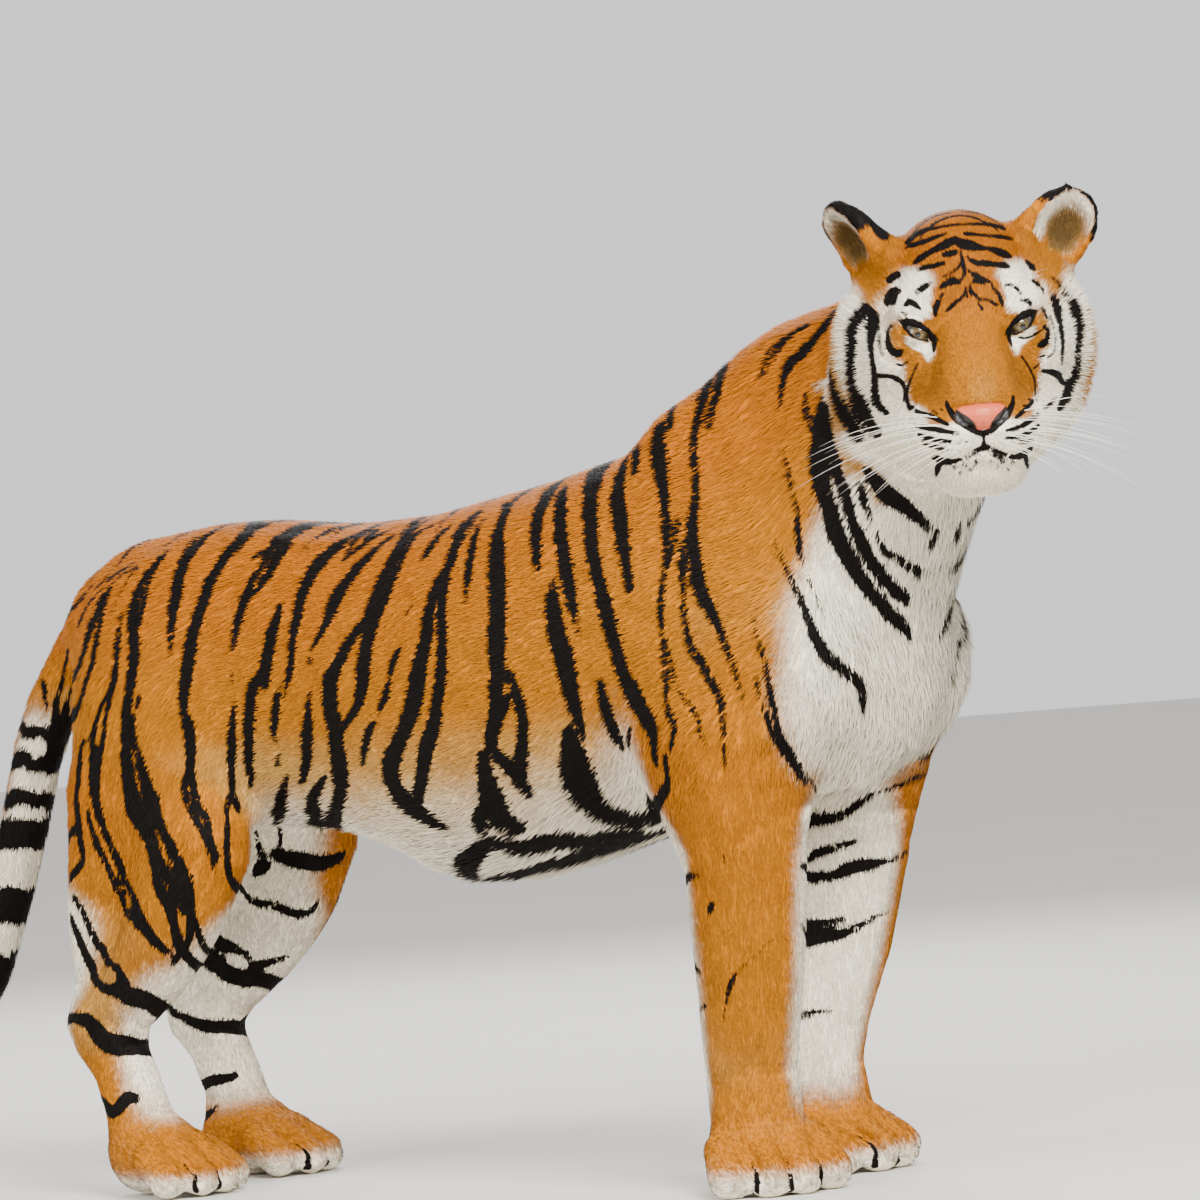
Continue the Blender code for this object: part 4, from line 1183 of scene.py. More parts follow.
# From the foreleg's front round to its outer side: only faint lines.
FORELEG_OUTER = (
    (
        (33, 90, 1), (29.5, 80, 2.5), (28.3, 75, 3), (26.8, 65, 1.5), (25.2, 50, 1.5), (24.2, 40, 1.5),
        (23, 25, 1.3), (23.8, 12, 1),
    ),
    ((15.3, 104, 1), (15.8, 118, 3), (16.2, 135, 4), (16.8, 150, 5), (17, 165, 4)),
    ((31.2, 112, 1.5), (31.8, 128, 2.5), (32.5, 150, 3)),
    ((27.6, 122, 2), (27.1, 138, 3.5), (26.5, 155, 4)),
    ((20.2, 100, 2), (19.5, 95, 4), (18.9, 90, 2)),
    ((13, 75, 1), (14, 75, 1.5)),
)
# From the foreleg's front round to its inner side.
FORELEG_INNER = (
    (
        (12, 108, 5), (11.2, 92, 6), (10.8, 76, 5), (9.8, 60, 4), (8.2, 48, 4), (7.1, 38, 3), (6.6, 25, 3),
        (5.6, 12, 3), (5, -2, 3), (5, -17, 3),
    ),
    (
        (14, 145, 2), (14.5, 125, 3), (15.5, 112, 3), (16.4, 101, 4), (15.6, 90, 5), (14.9, 78, 4.5),
        (14.3, 66, 4), (13.7, 56, 3), (13, 46, 2),
    ),
    (
        (18.6, 107, 5), (18.8, 95, 6), (18.4, 80, 5), (18.1, 68, 5), (17, 54, 7), (16.3, 38, 7),
        (15.8, 22, 4), (15.3, 7, 3), (14.9, -8, 3), (14.3, -22, 2),
    ),
    ((25.2, 104, 6), (24.9, 90, 6), (24.5, 77, 5), (24.0, 62, 4), (23.1, 50, 2)),
    (
        (26.6, 106, 9), (26.6, 90, 9), (26.1, 77, 8), (25.7, 62, 7), (25.2, 50, 5), (24.3, 38, 4),
        (23.3, 25, 3), (22.4, 12, 2.4), (21.8, 0, 2),
    ),
    ((27.2, 118, 1.5), (26.9, 148, 1.5)),
    ((36.2, 97, 3), (35.8, 80, 3.4), (35.3, 62, 2.6), (35.1, 45, 2)),
)
HINDLEG_OUTER = (
    (
        (1.5, 118, 6), (3.5, 128, 6), (6, 134, 5), (9, 137, 5), (13, 140, 4), (17, 140, 4), (19.8, 136, 5),
        (20.7, 122, 6), (20.8, 105, 5), (20.6, 88, 5), (21, 75, 6), (22.3, 64, 9), (23.8, 54, 9),
        (25, 43, 8), (26, 33, 5), (26.6, 25, 2),
    ),
    (
        (10.5, 147, 3), (14, 149, 4), (18, 149, 3), (21, 150, 3), (23, 153, 4), (24.3, 150, 4),
        (24.2, 138, 5), (23.8, 120, 5), (23.5, 100, 5), (23.3, 85, 5), (23.3, 73, 6), (23.8, 62, 7),
    ),
    (
        (1, 146, 4), (3, 149, 5), (7, 152, 4), (11, 156, 4), (13.5, 159, 5), (17, 160, 4), (19, 164, 5),
        (22, 170, 5),
    ),
    ((12.3, 160, 5), (12.8, 168, 5), (15, 172, 4)),
    (
        (25, 168, 5), (27.5, 161, 5), (29.5, 155, 6), (30.7, 145, 6), (31.2, 130, 6), (31, 110, 5),
        (31, 92, 5), (31.2, 76, 7), (32.5, 62, 11),
    ),
    (
        (28, 170, 6), (30.5, 163, 7), (32.5, 156, 7), (34, 146, 7), (34.5, 130, 6), (34.5, 110, 6),
        (34.4, 92, 6), (34, 75, 8), (33.7, 60, 14), (34.1, 47, 14), (34, 32, 15), (34.7, 17, 13),
        (35.7, 2, 12), (36.5, -15, 12), (37.3, -30, 13), (38, -45, 13),
    ),
    (
        (40.5, 170, 9), (39.8, 158, 6), (39.4, 142, 6), (39.3, 125, 9), (40, 110, 11), (41, 97, 12),
        (41.6, 82, 12), (41.9, 65, 13), (42, 48, 13), (42.2, 30, 12), (42.5, 10, 10), (42.8, -12, 10),
        (43.2, -32, 9),
    ),
    (
        (49.3, 165, 11), (49.3, 140, 11), (49.8, 115, 11), (51, 92, 8), (50.8, 70, 8), (50, 52, 8),
        (50.5, 40, 6),
    ),
    (
        (3.5, 72, 8), (7, 73, 12), (10, 74, 15), (12.3, 68, 12), (14, 58, 8), (16.5, 50, 7), (19, 44, 8),
        (20.8, 36, 8), (23, 30, 6), (25, 24, 7), (26.5, 15, 6), (27.8, 3, 6), (28.8, -12, 7),
        (29.3, -28, 8), (29.6, -42, 8),
    ),
    (
        (4.5, 56, 5), (8, 54, 5), (11, 49, 5), (14, 42, 5), (16, 36, 5), (18.5, 31, 5), (20.5, 25, 4),
        (22.5, 18, 4), (24.5, 8, 4), (25.8, -3, 4), (25.5, -14, 4), (25.8, -30, 4), (26, -45, 5),
    ),
    ((7.3, 25, 4), (10, 26, 4), (12.5, 24, 3.5), (15, 20, 3), (17.7, 15, 1.5)),
    (
        (9.7, 7, 4), (12, 10, 4), (14.5, 12, 4), (16.8, 10, 4), (18.2, 3, 5), (18.8, -8, 5),
        (18.7, -22, 5), (18.5, -38, 7),
    ),
)
HINDLEG_INNER = (
    ((22, 170, 10), (24.5, 163, 7), (27.5, 156, 5), (30, 149, 4), (31.5, 140, 4)),
    ((29, 171, 8), (32, 162, 9), (34, 150, 10), (33.5, 135, 10)),
    ((4.5, 132, 3), (6.5, 124, 4), (8.3, 114, 5), (9.7, 106, 4)),
    ((9, 122, 12), (12, 130, 9), (15, 126, 9), (18, 126, 8), (20.5, 133, 5), (22.5, 138, 3)),
    (
        (6, 93, 4), (8, 87, 4), (10, 80, 4), (11.5, 76, 4), (12.8, 88, 7), (15, 95, 8), (18, 98, 9),
        (20.3, 104, 11), (21.8, 114, 7), (22.5, 122, 4),
    ),
    (
        (21.3, 100, 8), (22, 88, 5), (22.8, 72, 4), (22.9, 52, 5), (22.7, 32, 5), (23, 15, 6),
        (22.6, 6, 4), (21, 1, 2),
    ),
    ((7.2, 73, 3), (9, 66, 3), (11.3, 58, 3.5), (13.5, 59, 3), (15.3, 57, 4), (17, 50, 5)),
    ((19.3, 60, 5), (18.3, 52, 9), (18, 46, 7)),
    ((8, 44, 3), (10.3, 38, 3.5), (12, 41, 3), (14, 36, 3), (15.5, 34, 3)),
    ((16.5, 38, 7), (16.8, 28, 9), (17, 18, 11), (17.2, 8, 10), (16.5, -3, 6)),
    ((9, 15, 3), (10.5, 13, 4), (11.8, 18, 4), (13, 12, 9), (12.5, 4, 6), (10.5, -2, 3)),
    ((30.5, 128, 8), (30.8, 110, 9), (30.5, 90, 8), (30.3, 70, 6), (30.5, 50, 5), (30.8, 38, 4)),
    (
        (33.5, 125, 13), (33.5, 100, 13), (34, 75, 12), (34.2, 50, 12), (34, 30, 12), (33.5, 15, 12),
        (33.8, 0, 12), (34.3, -15, 11), (35, -30, 9), (35.8, -42, 5),
    ),
    ((32, 28, 8), (30.5, 15, 5), (29.5, 3, 4)),
    (
        (40.3, 162, 6), (41.2, 150, 6), (41.5, 138, 5), (42, 120, 7), (42.2, 95, 8), (42.3, 70, 8),
        (42.2, 45, 8), (42.2, 20, 9), (42.3, 0, 9), (42.5, -20, 9), (42.8, -42, 10),
    ),
    (
        (49.3, 165, 8), (49.7, 145, 7), (49.8, 120, 7), (49.6, 95, 7), (49.7, 75, 7), (49.8, 55, 6),
        (49.8, 40, 5), (49.3, 28, 3),
    ),
    ((53.3, 150, 6), (53.5, 125, 6), (53.3, 100, 4), (53.3, 85, 3)),
)
# Centimetres along the trunk of the bars that cross the spine.
SPINE_BARS = (5, 12, 18, 26, 33, 41, 47, 55, 61, 69, 76, 82, 90, 97, 105, 112, 120)
# The tail's rings, in centimetres along it and half widths in mm, and the slanting strokes at its root.
TAIL_RINGS = (
    (26.3, 7), (31.3, 8), (36.3, 8), (41.6, 18), (51.2, 22),
    (62, 30), (72.5, 22), (81.5, 24), (92, 34), (98, 34),
)
TAIL_ROOT = (
    ((20, 60, 4), (23, 42, 5), (26, 25, 6), (29, 10, 7), (31, 0, 8)),
    ((20, 37, 4), (22.5, 22, 6), (25, 8, 8), (26.5, -5, 9), (26.5, -20, 6)),
    ((20, 8, 4), (22, -3, 5), (24, -12, 5)),
    ((19.5, 115, 4), (20, 95, 4), (21, 80, 3), (22, 70, 2)),
)

# On the face, seen from its front: millimetres to the animal's left of its middle, up from between the eyes,
# and half widths. These lie on both sides.
FACE_BOTH = (
    (
        (-78, 11, 1.5), (-70, 13, 2.2), (-62, 11, 2.6), (-53, 5, 2.6), (-46, -3, 2.6), (-43, -10, 3),
        (-43.5, -17, 2.2), (-45, -22, 1.2),
    ),
    ((-76, 6, 1), (-68, -3, 1.4), (-58, -8, 1.4), (-49, -11, 1.6)),
    ((38, -71, 1.5), (36, -79, 3), (29, -90, 4), (18, -98, 4), (8, -105, 3.5), (0, -109, 3)),
    ((0, -107, 2), (0, -115, 1.5), (0, -122, 3), (0, -126, 3.5)),
    ((0, -125, 3), (-9, -128, 3), (-20, -134, 2), (-34, -140, 3), (-44, -140, 5), (-54, -136, 4.5)),
    ((-5, -134, 1.4), (-12, -136, 2), (-20, -140, 1.6)),
    ((-24, -144, 1.8), (-20, -146, 1.8)),
    ((-10, -143, 1.8), (-7, -144, 1.6)),
    ((-34, -147, 1.8), (-31, -149, 1.6)),
    ((-16, -151, 1.8), (-14, -152, 1.6)),
    ((-28, -155, 1.6), (-26, -156, 1.6)),
    ((-48, -139, 3), (-50, -150, 3), (-52, -160, 2)),
)
FACE_RIGHT = (
    ((-60, 92, 2.5), (-42, 104, 2.5), (-22, 109, 1.5), (0, 111, 1.3)),
    ((-62, 87, 1.5), (-46, 93, 2.5), (-30, 99, 2), (-16, 103, 1)),
    ((-56, 72, 1.5), (-48, 78, 3), (-38, 84, 2.5), (-28, 89, 3), (-20, 92, 4), (-8, 96, 4), (0, 92, 5)),
    ((-23, 82, 2), (-15, 83, 3), (-8, 85, 2.5)),
    ((-53, 65, 1), (-44, 69, 2.5), (-34, 71, 2.5), (-23, 74, 2)),
    ((-3, 84, 1.5), (-2, 70, 2.5), (-1, 60, 1.5)),
    ((-26, 59, 1), (-18, 63, 1.5), (-10, 67, 1.5), (-5, 72, 1.5)),
    ((-30, 48, 2), (-22, 52, 3), (-14, 54, 3.5), (-8, 53, 2), (-3, 59, 1.5)),
    ((-26, 43, 1.5), (-31, 37, 1.5), (-35, 30, 3), (-38, 24, 3), (-39, 17, 1.5)),
    ((-27, 21, 1.2), (-20, 26, 2.2), (-14, 31, 1.8), (-9, 34, 1.8), (-4, 39, 1.5), (-2, 44, 1)),
    ((-2, 48, 1), (-1, 36, 1.5)),
    ((-57, 43, 2.5), (-50, 47, 3), (-43, 51, 2), (-37, 53, 1)),
    ((-72, 30, 2), (-66, 33, 3), (-60, 30, 3), (-55, 26, 1.5)),
    ((-76, 22, 1.5), (-70, 20, 1)),
    ((-84, 50, 3), (-80, 55, 4), (-72, 59, 3)),
    ((-88, 27, 4), (-84, 33, 5), (-78, 40, 4), (-74, 43, 2)),
    (
        (-112, 24, 3), (-122, 10, 4), (-129, -4, 4), (-131, -20, 4), (-133, -40, 3.5), (-134, -58, 3.5),
        (-131, -74, 4), (-126, -88, 6), (-122, -100, 7), (-117, -110, 6), (-110, -122, 6),
    ),
    (
        (-106, 18, 4), (-105, 9, 6.5), (-108, -2, 5), (-111, -18, 3), (-111, -35, 2.5), (-110, -50, 3),
        (-109, -62, 3.5), (-109, -78, 4), (-105, -90, 3.5), (-98, -97, 2.5),
    ),
    ((-108, -52, 3), (-96, -51, 2.5), (-86, -54, 3), (-80, -60, 2.5), (-79, -70, 1.5), (-80, -80, 1)),
    ((-86, 8, 1.5), (-92, 0, 2), (-93, -10, 2.5), (-91, -20, 4), (-84, -25, 4), (-79, -21, 2)),
    ((-100, 2, 1), (-102, -14, 1.5), (-100, -28, 1.2)),
    ((-86, -36, 1.2), (-80, -38, 1.5), (-74, -34, 1)),
    ((-75, -86, 2), (-58, -88, 2.8), (-47, -92, 2.6), (-39, -96, 2)),
    ((-73, -100, 2.4), (-60, -101, 3.2), (-50, -102, 3), (-40, -104, 2.6), (-28, -106, 1.8)),
    ((-70, -110, 2.4), (-59, -113, 2.8), (-50, -114, 2.6), (-36, -115, 1.8)),
    ((-29, -118, 1.5), (-27, -118, 1.5)),
    ((-21, -116, 1.3), (-19, -116, 1.3)),
    ((-66, -119, 2.4), (-56, -122, 2.6), (-46, -123, 2)),
    ((-63, -36, 1), (-71, -52, 1.2), (-76, -66, 1.8), (-77, -78, 2.2), (-74, -89, 2)),
    ((-51, -127, 1.3), (-47, -127, 1.3)),
    ((-41, -126, 1.2), (-37, -126, 1.2)),
    ((-53, -83, 1), (-49, -85, 1.2)),
    ((-45, -80, 1), (-43, -81, 1)),
)
THINNEST = 1.3  # no stroke of the face is thinner
FACE_LEFT = (
    ((0, 111, 1.3), (22, 109, 1.5), (40, 105, 2), (55, 98, 2)),
    ((5, 102, 2), (26, 98, 1.5), (46, 93, 2), (62, 87, 1.5)),
    ((0, 92, 5), (10, 90, 5), (18, 87, 3), (30, 84, 2), (42, 79, 4), (50, 75, 3.5), (57, 71, 1.5)),
    ((4, 78, 1.5), (12, 72, 2.5), (24, 70, 3), (36, 67, 2.5), (47, 64, 3), (54, 61, 1)),
    (
        (3, 64, 1.5), (8, 60, 2), (14, 57, 2.5), (22, 52, 2), (28, 48, 1.5), (30, 42, 1.5), (35, 36, 2),
        (38, 28, 2), (39, 22, 1.5),
    ),
    ((8, 53, 2.5), (14, 52, 2.5), (20, 49, 2)),
    ((4, 44, 1.2), (8, 37, 1.8), (14, 32, 1.5), (20, 31, 1.5), (26, 28, 1.8), (33, 23, 1.5)),
    ((11, 27, 1.2), (15, 21, 1.8)),
    ((3, 48, 1), (4, 38, 1.5)),
    ((44, 44, 1), (52, 43, 1.8), (58, 38, 1.8), (62, 32, 1.2)),
    ((60, 26, 1), (68, 25, 2), (72, 20, 2)),
    ((76, 60, 2), (81, 55, 3), (86, 50, 2)),
    ((80, 38, 3), (85, 32, 4), (90, 25, 4)),
    (
        (102, 20, 2), (105, 12, 4), (106, 2, 5), (107, -12, 3.5), (108, -28, 2.5), (106, -44, 2),
        (105, -56, 1.5),
    ),
    ((80, -57, 2), (88, -60, 3), (96, -64, 4), (102, -70, 4), (106, -80, 3)),
    ((80, -102, 1.5), (88, -99, 2), (96, -93, 1.5)),
    (
        (104, 40, 1.5), (112, 30, 2), (120, 18, 2.5), (127, 4, 4), (131, -12, 4), (131, -28, 3.5),
        (128, -46, 3), (126, -62, 3), (122, -76, 4), (114, -86, 5), (109, -98, 6), (100, -107, 4),
    ),
    ((84, 14, 1.5), (88, 8, 2), (91, 0, 1.5)),
    ((86, -7, 2), (90, -13, 2), (88, -22, 3), (82, -27, 4), (78, -27, 2)),
    ((95, 2, 1), (98, -12, 1.2), (99, -26, 1.2), (95, -38, 1.2), (88, -43, 1)),
    ((55, -15, 1), (63, -17, 1.5), (72, -15, 1.5), (80, -12, 1)),
    ((76, -41, 1.2), (84, -40, 1.5)),
    ((70, -52, 1), (76, -48, 1.5)),
    ((39, -94, 2), (51, -88, 2.6), (63, -83, 2)),
    ((26, -107, 1.6), (36, -106, 2.4), (47, -104, 3), (58, -100, 3), (67, -97, 2)),
    ((23, -115, 1.5), (39, -116, 2.2), (54, -113, 2.6), (66, -109, 2)),
    ((56, -36, 0.8), (64, -50, 1), (69, -63, 1.3), (70, -78, 1.4), (68, -85, 1)),
    ((19, -122, 1.2), (23, -123, 1.2)),
    ((31, -122, 1), (34, -122, 1)),
    ((41, -123, 2), (51, -124, 2.4), (59, -122, 2)),
    ((49, -84, 1), (53, -85, 1.2)),
    ((57, -80, 1), (59, -81, 1)),
    ((40, -103, 1), (42, -107, 1)),
)
# On top of the head: millimetres ahead of the point between the eyes, to the left of it, and half widths.
CROWN = (
    ((-48, -44, 1.5), (-58, -22, 3), (-62, 0, 2), (-58, 24, 3), (-50, 46, 1.5)),
    ((-70, -52, 1.5), (-80, -30, 3.5), (-76, -6, 2)),
    ((-78, 8, 2), (-82, 32, 3.5), (-74, 54, 1.5)),
    ((-98, -40, 2), (-104, -16, 4), (-100, 10, 4), (-106, 34, 2)),
    ((-124, -52, 2), (-130, -24, 4.5), (-126, 0, 3)),
    ((-134, 6, 3), (-134, 30, 4.5), (-126, 54, 2)),
    ((-158, -58, 2), (-168, -34, 4.5), (-162, -6, 2.5)),
    ((-160, 6, 2.5), (-170, 36, 5), (-158, 60, 2)),
    ((-190, -64, 2), (-203, -34, 5.5), (-196, -6, 3)),
    ((-192, 4, 2), (-206, 34, 5.5), (-192, 64, 2)),
    ((-228, -66, 2), (-243, -32, 6), (-236, 2, 3)),
    ((-236, 12, 3), (-246, 42, 6), (-230, 72, 2)),
)


def from_front(tree):
    """A function that puts rows of the face's strokes on the skin, straight back from before it."""

    def placed(rows):
        ahead = np.full(len(rows), 0.3)
        starts = from_head(np.column_stack([ahead, rows[:, 0] * MM, rows[:, 1] * MM]))
        return cast(tree, starts, -HEAD_AXES[:, 0], 0.5)

    return placed


def from_above(tree):
    """A function that puts rows of the crown's strokes on the skin, straight down on the head."""

    def placed(rows):
        above = np.full(len(rows), 0.3)
        starts = from_head(np.column_stack([rows[:, 0] * MM, rows[:, 1] * MM, above]))
        return cast(tree, starts, -HEAD_AXES[:, 2], 0.4)

    return placed


def cast(tree, starts, way, reach):
    """Where rays from the starts meet the skin, and which of them do."""
    hits = [tree.ray_cast(Vector(start), Vector(way), reach)[0] for start in starts]
    found = np.array([hit is not None for hit in hits])
    places = [hit or Vector(start + way * 0.3) for hit, start in zip(hits, starts)]
    return np.array([place[:] for place in places]), found


def varied(stroke):
    """The same stroke a little off its place and width, for the body's other side."""
    rows = np.array(stroke, float)
    shift = RANDOM.normal(0, 0.6)
    rows[:, 0] += shift + RANDOM.normal(0, 0.25, len(rows))
    rows[:, 1] += RANDOM.normal(0, 2.5)
    rows[:, 2] *= RANDOM.uniform(0.8, 1.2)
    return rows


# For each limb its strokes, whether they go round it the other way, and the degrees that are kept.
STROKES = (
    ("trunk_right", FLANK, False, (-10, 175)),
    ("foreleg_right", FORELEG_OUTER, False, (0, 180)),
    ("foreleg_left", FORELEG_OUTER, False, (0, 180)),
    ("foreleg_right", FORELEG_INNER, True, (5, 175)),
    ("foreleg_left", FORELEG_INNER, True, (-25, 175)),
    ("hindleg_right", HINDLEG_OUTER, False, (-50, 175)),
    ("hindleg_left", HINDLEG_OUTER, False, (25, 175)),
    ("hindleg_right", HINDLEG_INNER, True, (40, 175)),
    ("hindleg_left", HINDLEG_INNER, True, (-45, 175)),
)


def mark_limbs(tree):
    """The strokes of the right flank and the legs, and the flank's own a little varied on the left."""
    for name, strokes, other_way, inside in STROKES:
        limb = LIMBS[name]
        if other_way:
            limb = Limb(limb.line, limb.front, -limb.side, limb.reach)
        for stroke in strokes:
            lay(stroke, limb.on(tree, inside))
    for stroke in FLANK:
        lay(varied(stroke), LIMBS["trunk_left"].on(tree, (0, 178)))


def mark_spine(tree):
    """Short bars across the back, each with its own slant, place and boldness."""
    for along in SPINE_BARS:
        angles = np.arange(-33, 34, 11)
        lean, shift, bolder = RANDOM.normal(0, 0.02), RANDOM.normal(0, 9), RANDOM.uniform(0.8, 1.25)
        halves = np.array((1.6, 3.6, 4.6, 5, 4.6, 3.4, 1.6)) * bolder
        lengthwise = along + lean * angles + RANDOM.normal(0, 0.25, len(angles))
        rows = np.column_stack([lengthwise, angles + shift, halves])
        lay(rows, LIMBS["trunk_right"].on(tree, (-75, 75)))


def mark_tail(tree):
    tail = LIMBS["tail"]
    for along, half in TAIL_RINGS:
        angles = np.arange(-180, 181, 30)
        swings = RANDOM.normal(0, 0.4, len(angles)) - 0.9 * np.cos(np.radians(angles))
        swings[-1] = swings[0]
        halves = half * RANDOM.uniform(0.85, 1.15, len(angles))
        halves[-1] = halves[0]
        lay(np.column_stack([along + swings, angles, halves]), tail.on(tree))
    for stroke in TAIL_ROOT:
        for way in (1, -1):
            lay(np.array(stroke, float) * (1, way, 1), tail.on(tree))


def mark_head(tree):
    ahead = from_front(tree)
    for stroke in FACE_BOTH:
        for way in (1, -1):
            lay(np.array(stroke, float) * (way, 1, 1), ahead, FACE_MARKS)
    for stroke in (*FACE_RIGHT, *FACE_LEFT):
        lay(np.maximum(stroke, (-999, -999, THINNEST)), ahead, FACE_MARKS)
    for stroke in CROWN:
        lay(stroke, from_above(tree))


def mark_toes(tree):
    """A dark line up each gap between the toes."""
    for at, heading, width, _ in PAWS:
        paw = paw_frame(at, heading)
        for gap in (-1, 0, 1):
            aside = gap * GAP_APART * width
            starts = [paw @ Vector((0.3, aside, high)) for high in np.arange(0.004, 0.046, 0.0015)]
            places, found = cast(tree, np.array(starts), -np.array(paw.col[0][:3]), 0.4)
            BODY_MARKS.add(places[found], np.linspace(4.6, 1.6, len(places))[found] * MM)


def mark_body(tree):
    """Lays every stroke on the skin."""
    mark_limbs(tree)
    mark_spine(tree)
    mark_tail(tree)
    mark_head(tree)
    mark_toes(tree)
    BODY_MARKS.finish()
    FACE_MARKS.finish()


# ---------------------------------------------------------------- white, orange and the ears' colours

# Where the trunk and neck turn white, in degrees from the top, at so many centimetres along them.
WHITE_EDGE = (
    (0, 176), (20, 172), (42, 158), (60, 146), (85, 140), (108, 142), (120, 146), (132, 122), (150, 92),
)
# On the face, in mm: how far out and up from between the eyes, half sizes, slant in degrees and how white.
FACE_WHITES = (
    (56, 44, 27, 20, -20, 1.0),
    (62, 24, 24, 12, 10, 0.95),
    (60, -16, 23, 6, 30, 1.0),
    (47, -24, 8, 12, 0, 0.8),
    (36, -116, 44, 21, -10, 1.0),
    (0, -152, 52, 22, 0, 1.0),
    (98, -40, 22, 50, 0, 0.82),
    (92, -88, 34, 34, 0, 0.85),
    (86, -74, 14, 34, -20, 0.75),
    (122, -20, 18, 62, 0, 0.85),
    (88, 12, 12, 22, 0, 0.6),
    (90, -130, 52, 36, 0, 0.85),
)
# Half the orange bridge's width, in mm, at each height, and the line beside it along which painted shade
# darkens the coat.
BRIDGE = ((-92, 66), (-80, 74), (-64, 72), (-48, 62), (-34, 48), (-20, 42), (0, 41), (60, 41))
BRIDGE_SIDE_SHADE = ((38, -6), (44, -36), (52, -66))


def leg_colours(skin, name, white, pale):
    """Orange outside and pale inside; the hind legs pale in front too. The shoulder fades into the leg."""
    side = name.split("_")[1]
    along, turn = LIMBS[name].measure(skin.points)
    if name.startswith("fore"):
        own = 1.0 * np.isin(skin.names, ("foreleg_" + side, "forepaw_" + side))
        x, y, z = skin.points.T
        above = soft(z, 0.70, 0.54) * soft(x, 0.42, 0.48) * soft(x, 0.74, 0.67) * (y * side_of(name) > 0)
        own = np.maximum(own, above * (skin.kinds == "trunk"))
        wide = soft(along, 14, 4) * 30
        orange = soft(turn + wide, -14, 14) * soft(turn - wide, 150, 112)
        light = soft(along, 5, 42) * 0.3 + 0.35
    else:
        own = 1.0 * np.isin(skin.names, ("thigh_" + side, "shank_" + side, "hindpaw_" + side))
        low = soft(along, 18, 32)
        orange = soft(turn, -25 + 40 * low, 5 + 70 * low) * soft(turn, 186 - 20 * low, 172 - 30 * low)
        orange = np.maximum(orange, soft(-turn, 150, 170) * (1 - low))
        light = soft(along, 0, 36) * 0.55 + 0.2
    white += ((1 - orange) * 0.92 - white) * own
    pale += (light - pale) * own


def body_colours(skin):
    """How white and how pale an orange the coat is on the trunk, the legs and the tail."""
    points, kinds = skin.points, skin.kinds
    along, turn = LIMBS["trunk_right"].measure(points)
    turn = np.abs(turn)
    edge = np.interp(along, *np.array(WHITE_EDGE, float).T)
    flank = soft(along, 108, 98)
    white = soft(turn, edge - 34 + 20 * soft(along, 95, 112), edge + 14)
    # Painted shade under the body: behind the chest, the white of the underside is held back towards tan.
    white = white * (1 - 0.35 * flank * soft(turn, 168, 150))
    pale = soft(turn, 25, 130) * 0.62 + 0.06 * soft(along, 60, 130) + flank * soft(turn, 100, 140) * 0.3
    for name in LIMBS:
        if "leg" in name:
            leg_colours(skin, name, white, pale)
    far, about = LIMBS["tail"].measure(points)
    rear = np.abs(about)
    tail = kinds == "tail"
    tinted = soft(far, 24, 20) + soft(rear, 100, 150) * soft(far, 56, 44)
    white[tail] = (1 - np.clip(tinted, 0, 1))[tail] * 0.85
    pale[tail] = 0.5
    paws = np.isin(kinds, ("forepaw", "hindpaw"))
    toes = 0.12 + 0.75 * soft(points[:, 2], 0.040, 0.014)
    white[paws] = (white + (toes - white) * soft(points[:, 2], 0.13, 0.08))[paws]
    pale[paws] = 0.42
    return evened(white, skin.edges, 14), evened(pale, skin.edges, 14)


def face_colours(skin, white, pale, place, flat):
    """The face's white patches round its orange bridge, and the white throat."""
    out = flat[:, 0]
    on_head = np.isin(skin.kinds, ("head", "jaw"))
    face = soft(place[:, 0], -150, -90) * on_head
    found = np.zeros(len(place))
    for side, up, wide, high, slant, share in FACE_WHITES:
        found = np.maximum(found, patch(flat, (side, up), (wide, high), slant) * share)
    bridge = soft(out - np.interp(place[:, 2], *np.array(BRIDGE, float).T), 6, -6)
    bridge *= soft(place[:, 2], -85, -75) * soft(place[:, 2], 70, 40)
    found *= 1 - np.maximum(bridge, 0.8 * patch(flat, (81, -13), (10, 22)))
    under = soft(skin.normals @ HEAD_AXES[:, 2], -0.3, -0.7) * soft(place[:, 2], -60, -90)
    found = np.maximum(found * face, under * on_head)
    found = np.maximum(found, soft(place[:, 0], -60, -110) * soft(place[:, 2], 30, -40) * on_head * 0.7)
    white[on_head] = found[on_head]
    crown = soft(place[:, 2], -20, 60)
    above_nose = patch(flat, (0, -58), (36, 26), edge=0.9)
    pale[on_head] = (0.42 - 0.3 * crown + 0.35 * soft(out, 60, 100) + 0.24 * above_nose)[on_head]
    throat = soft(np.linalg.norm(place - (0, 0, -150), axis=1), 150, 95)
    throat = throat * np.isin(skin.kinds, ("head", "jaw", "neck")) * soft(place[:, 2], -75, -105)
    white = np.maximum(white, throat * 0.85)
    return evened(white, skin.edges, 3), evened(pale, skin.edges, 3)


def dimness(skin, white, place, flat):
    """How light the coat is: darker in the orange of the legs and the head, and most of all beside the
    bridge, where the darkening is painted shade along the bridge's sides.
    """
    on_head = np.isin(skin.kinds, ("head", "jaw"))
    # Painted shade along both sides of the bridge, from the inner corners of the eyes down towards the nose.
    beside = np.exp(-((off_run(flat, BRIDGE_SIDE_SHADE) / 13) ** 2)) * (place[:, 0] > 0)
    dim = 1 - (0.34 + 0.20 * beside) * on_head * (1 - white)
    legs = np.isin(skin.kinds, ("foreleg", "forepaw", "hindpaw", "shank"))
    return dim - 0.13 * evened(1.0 * legs, skin.edges, 14) * (1 - white)


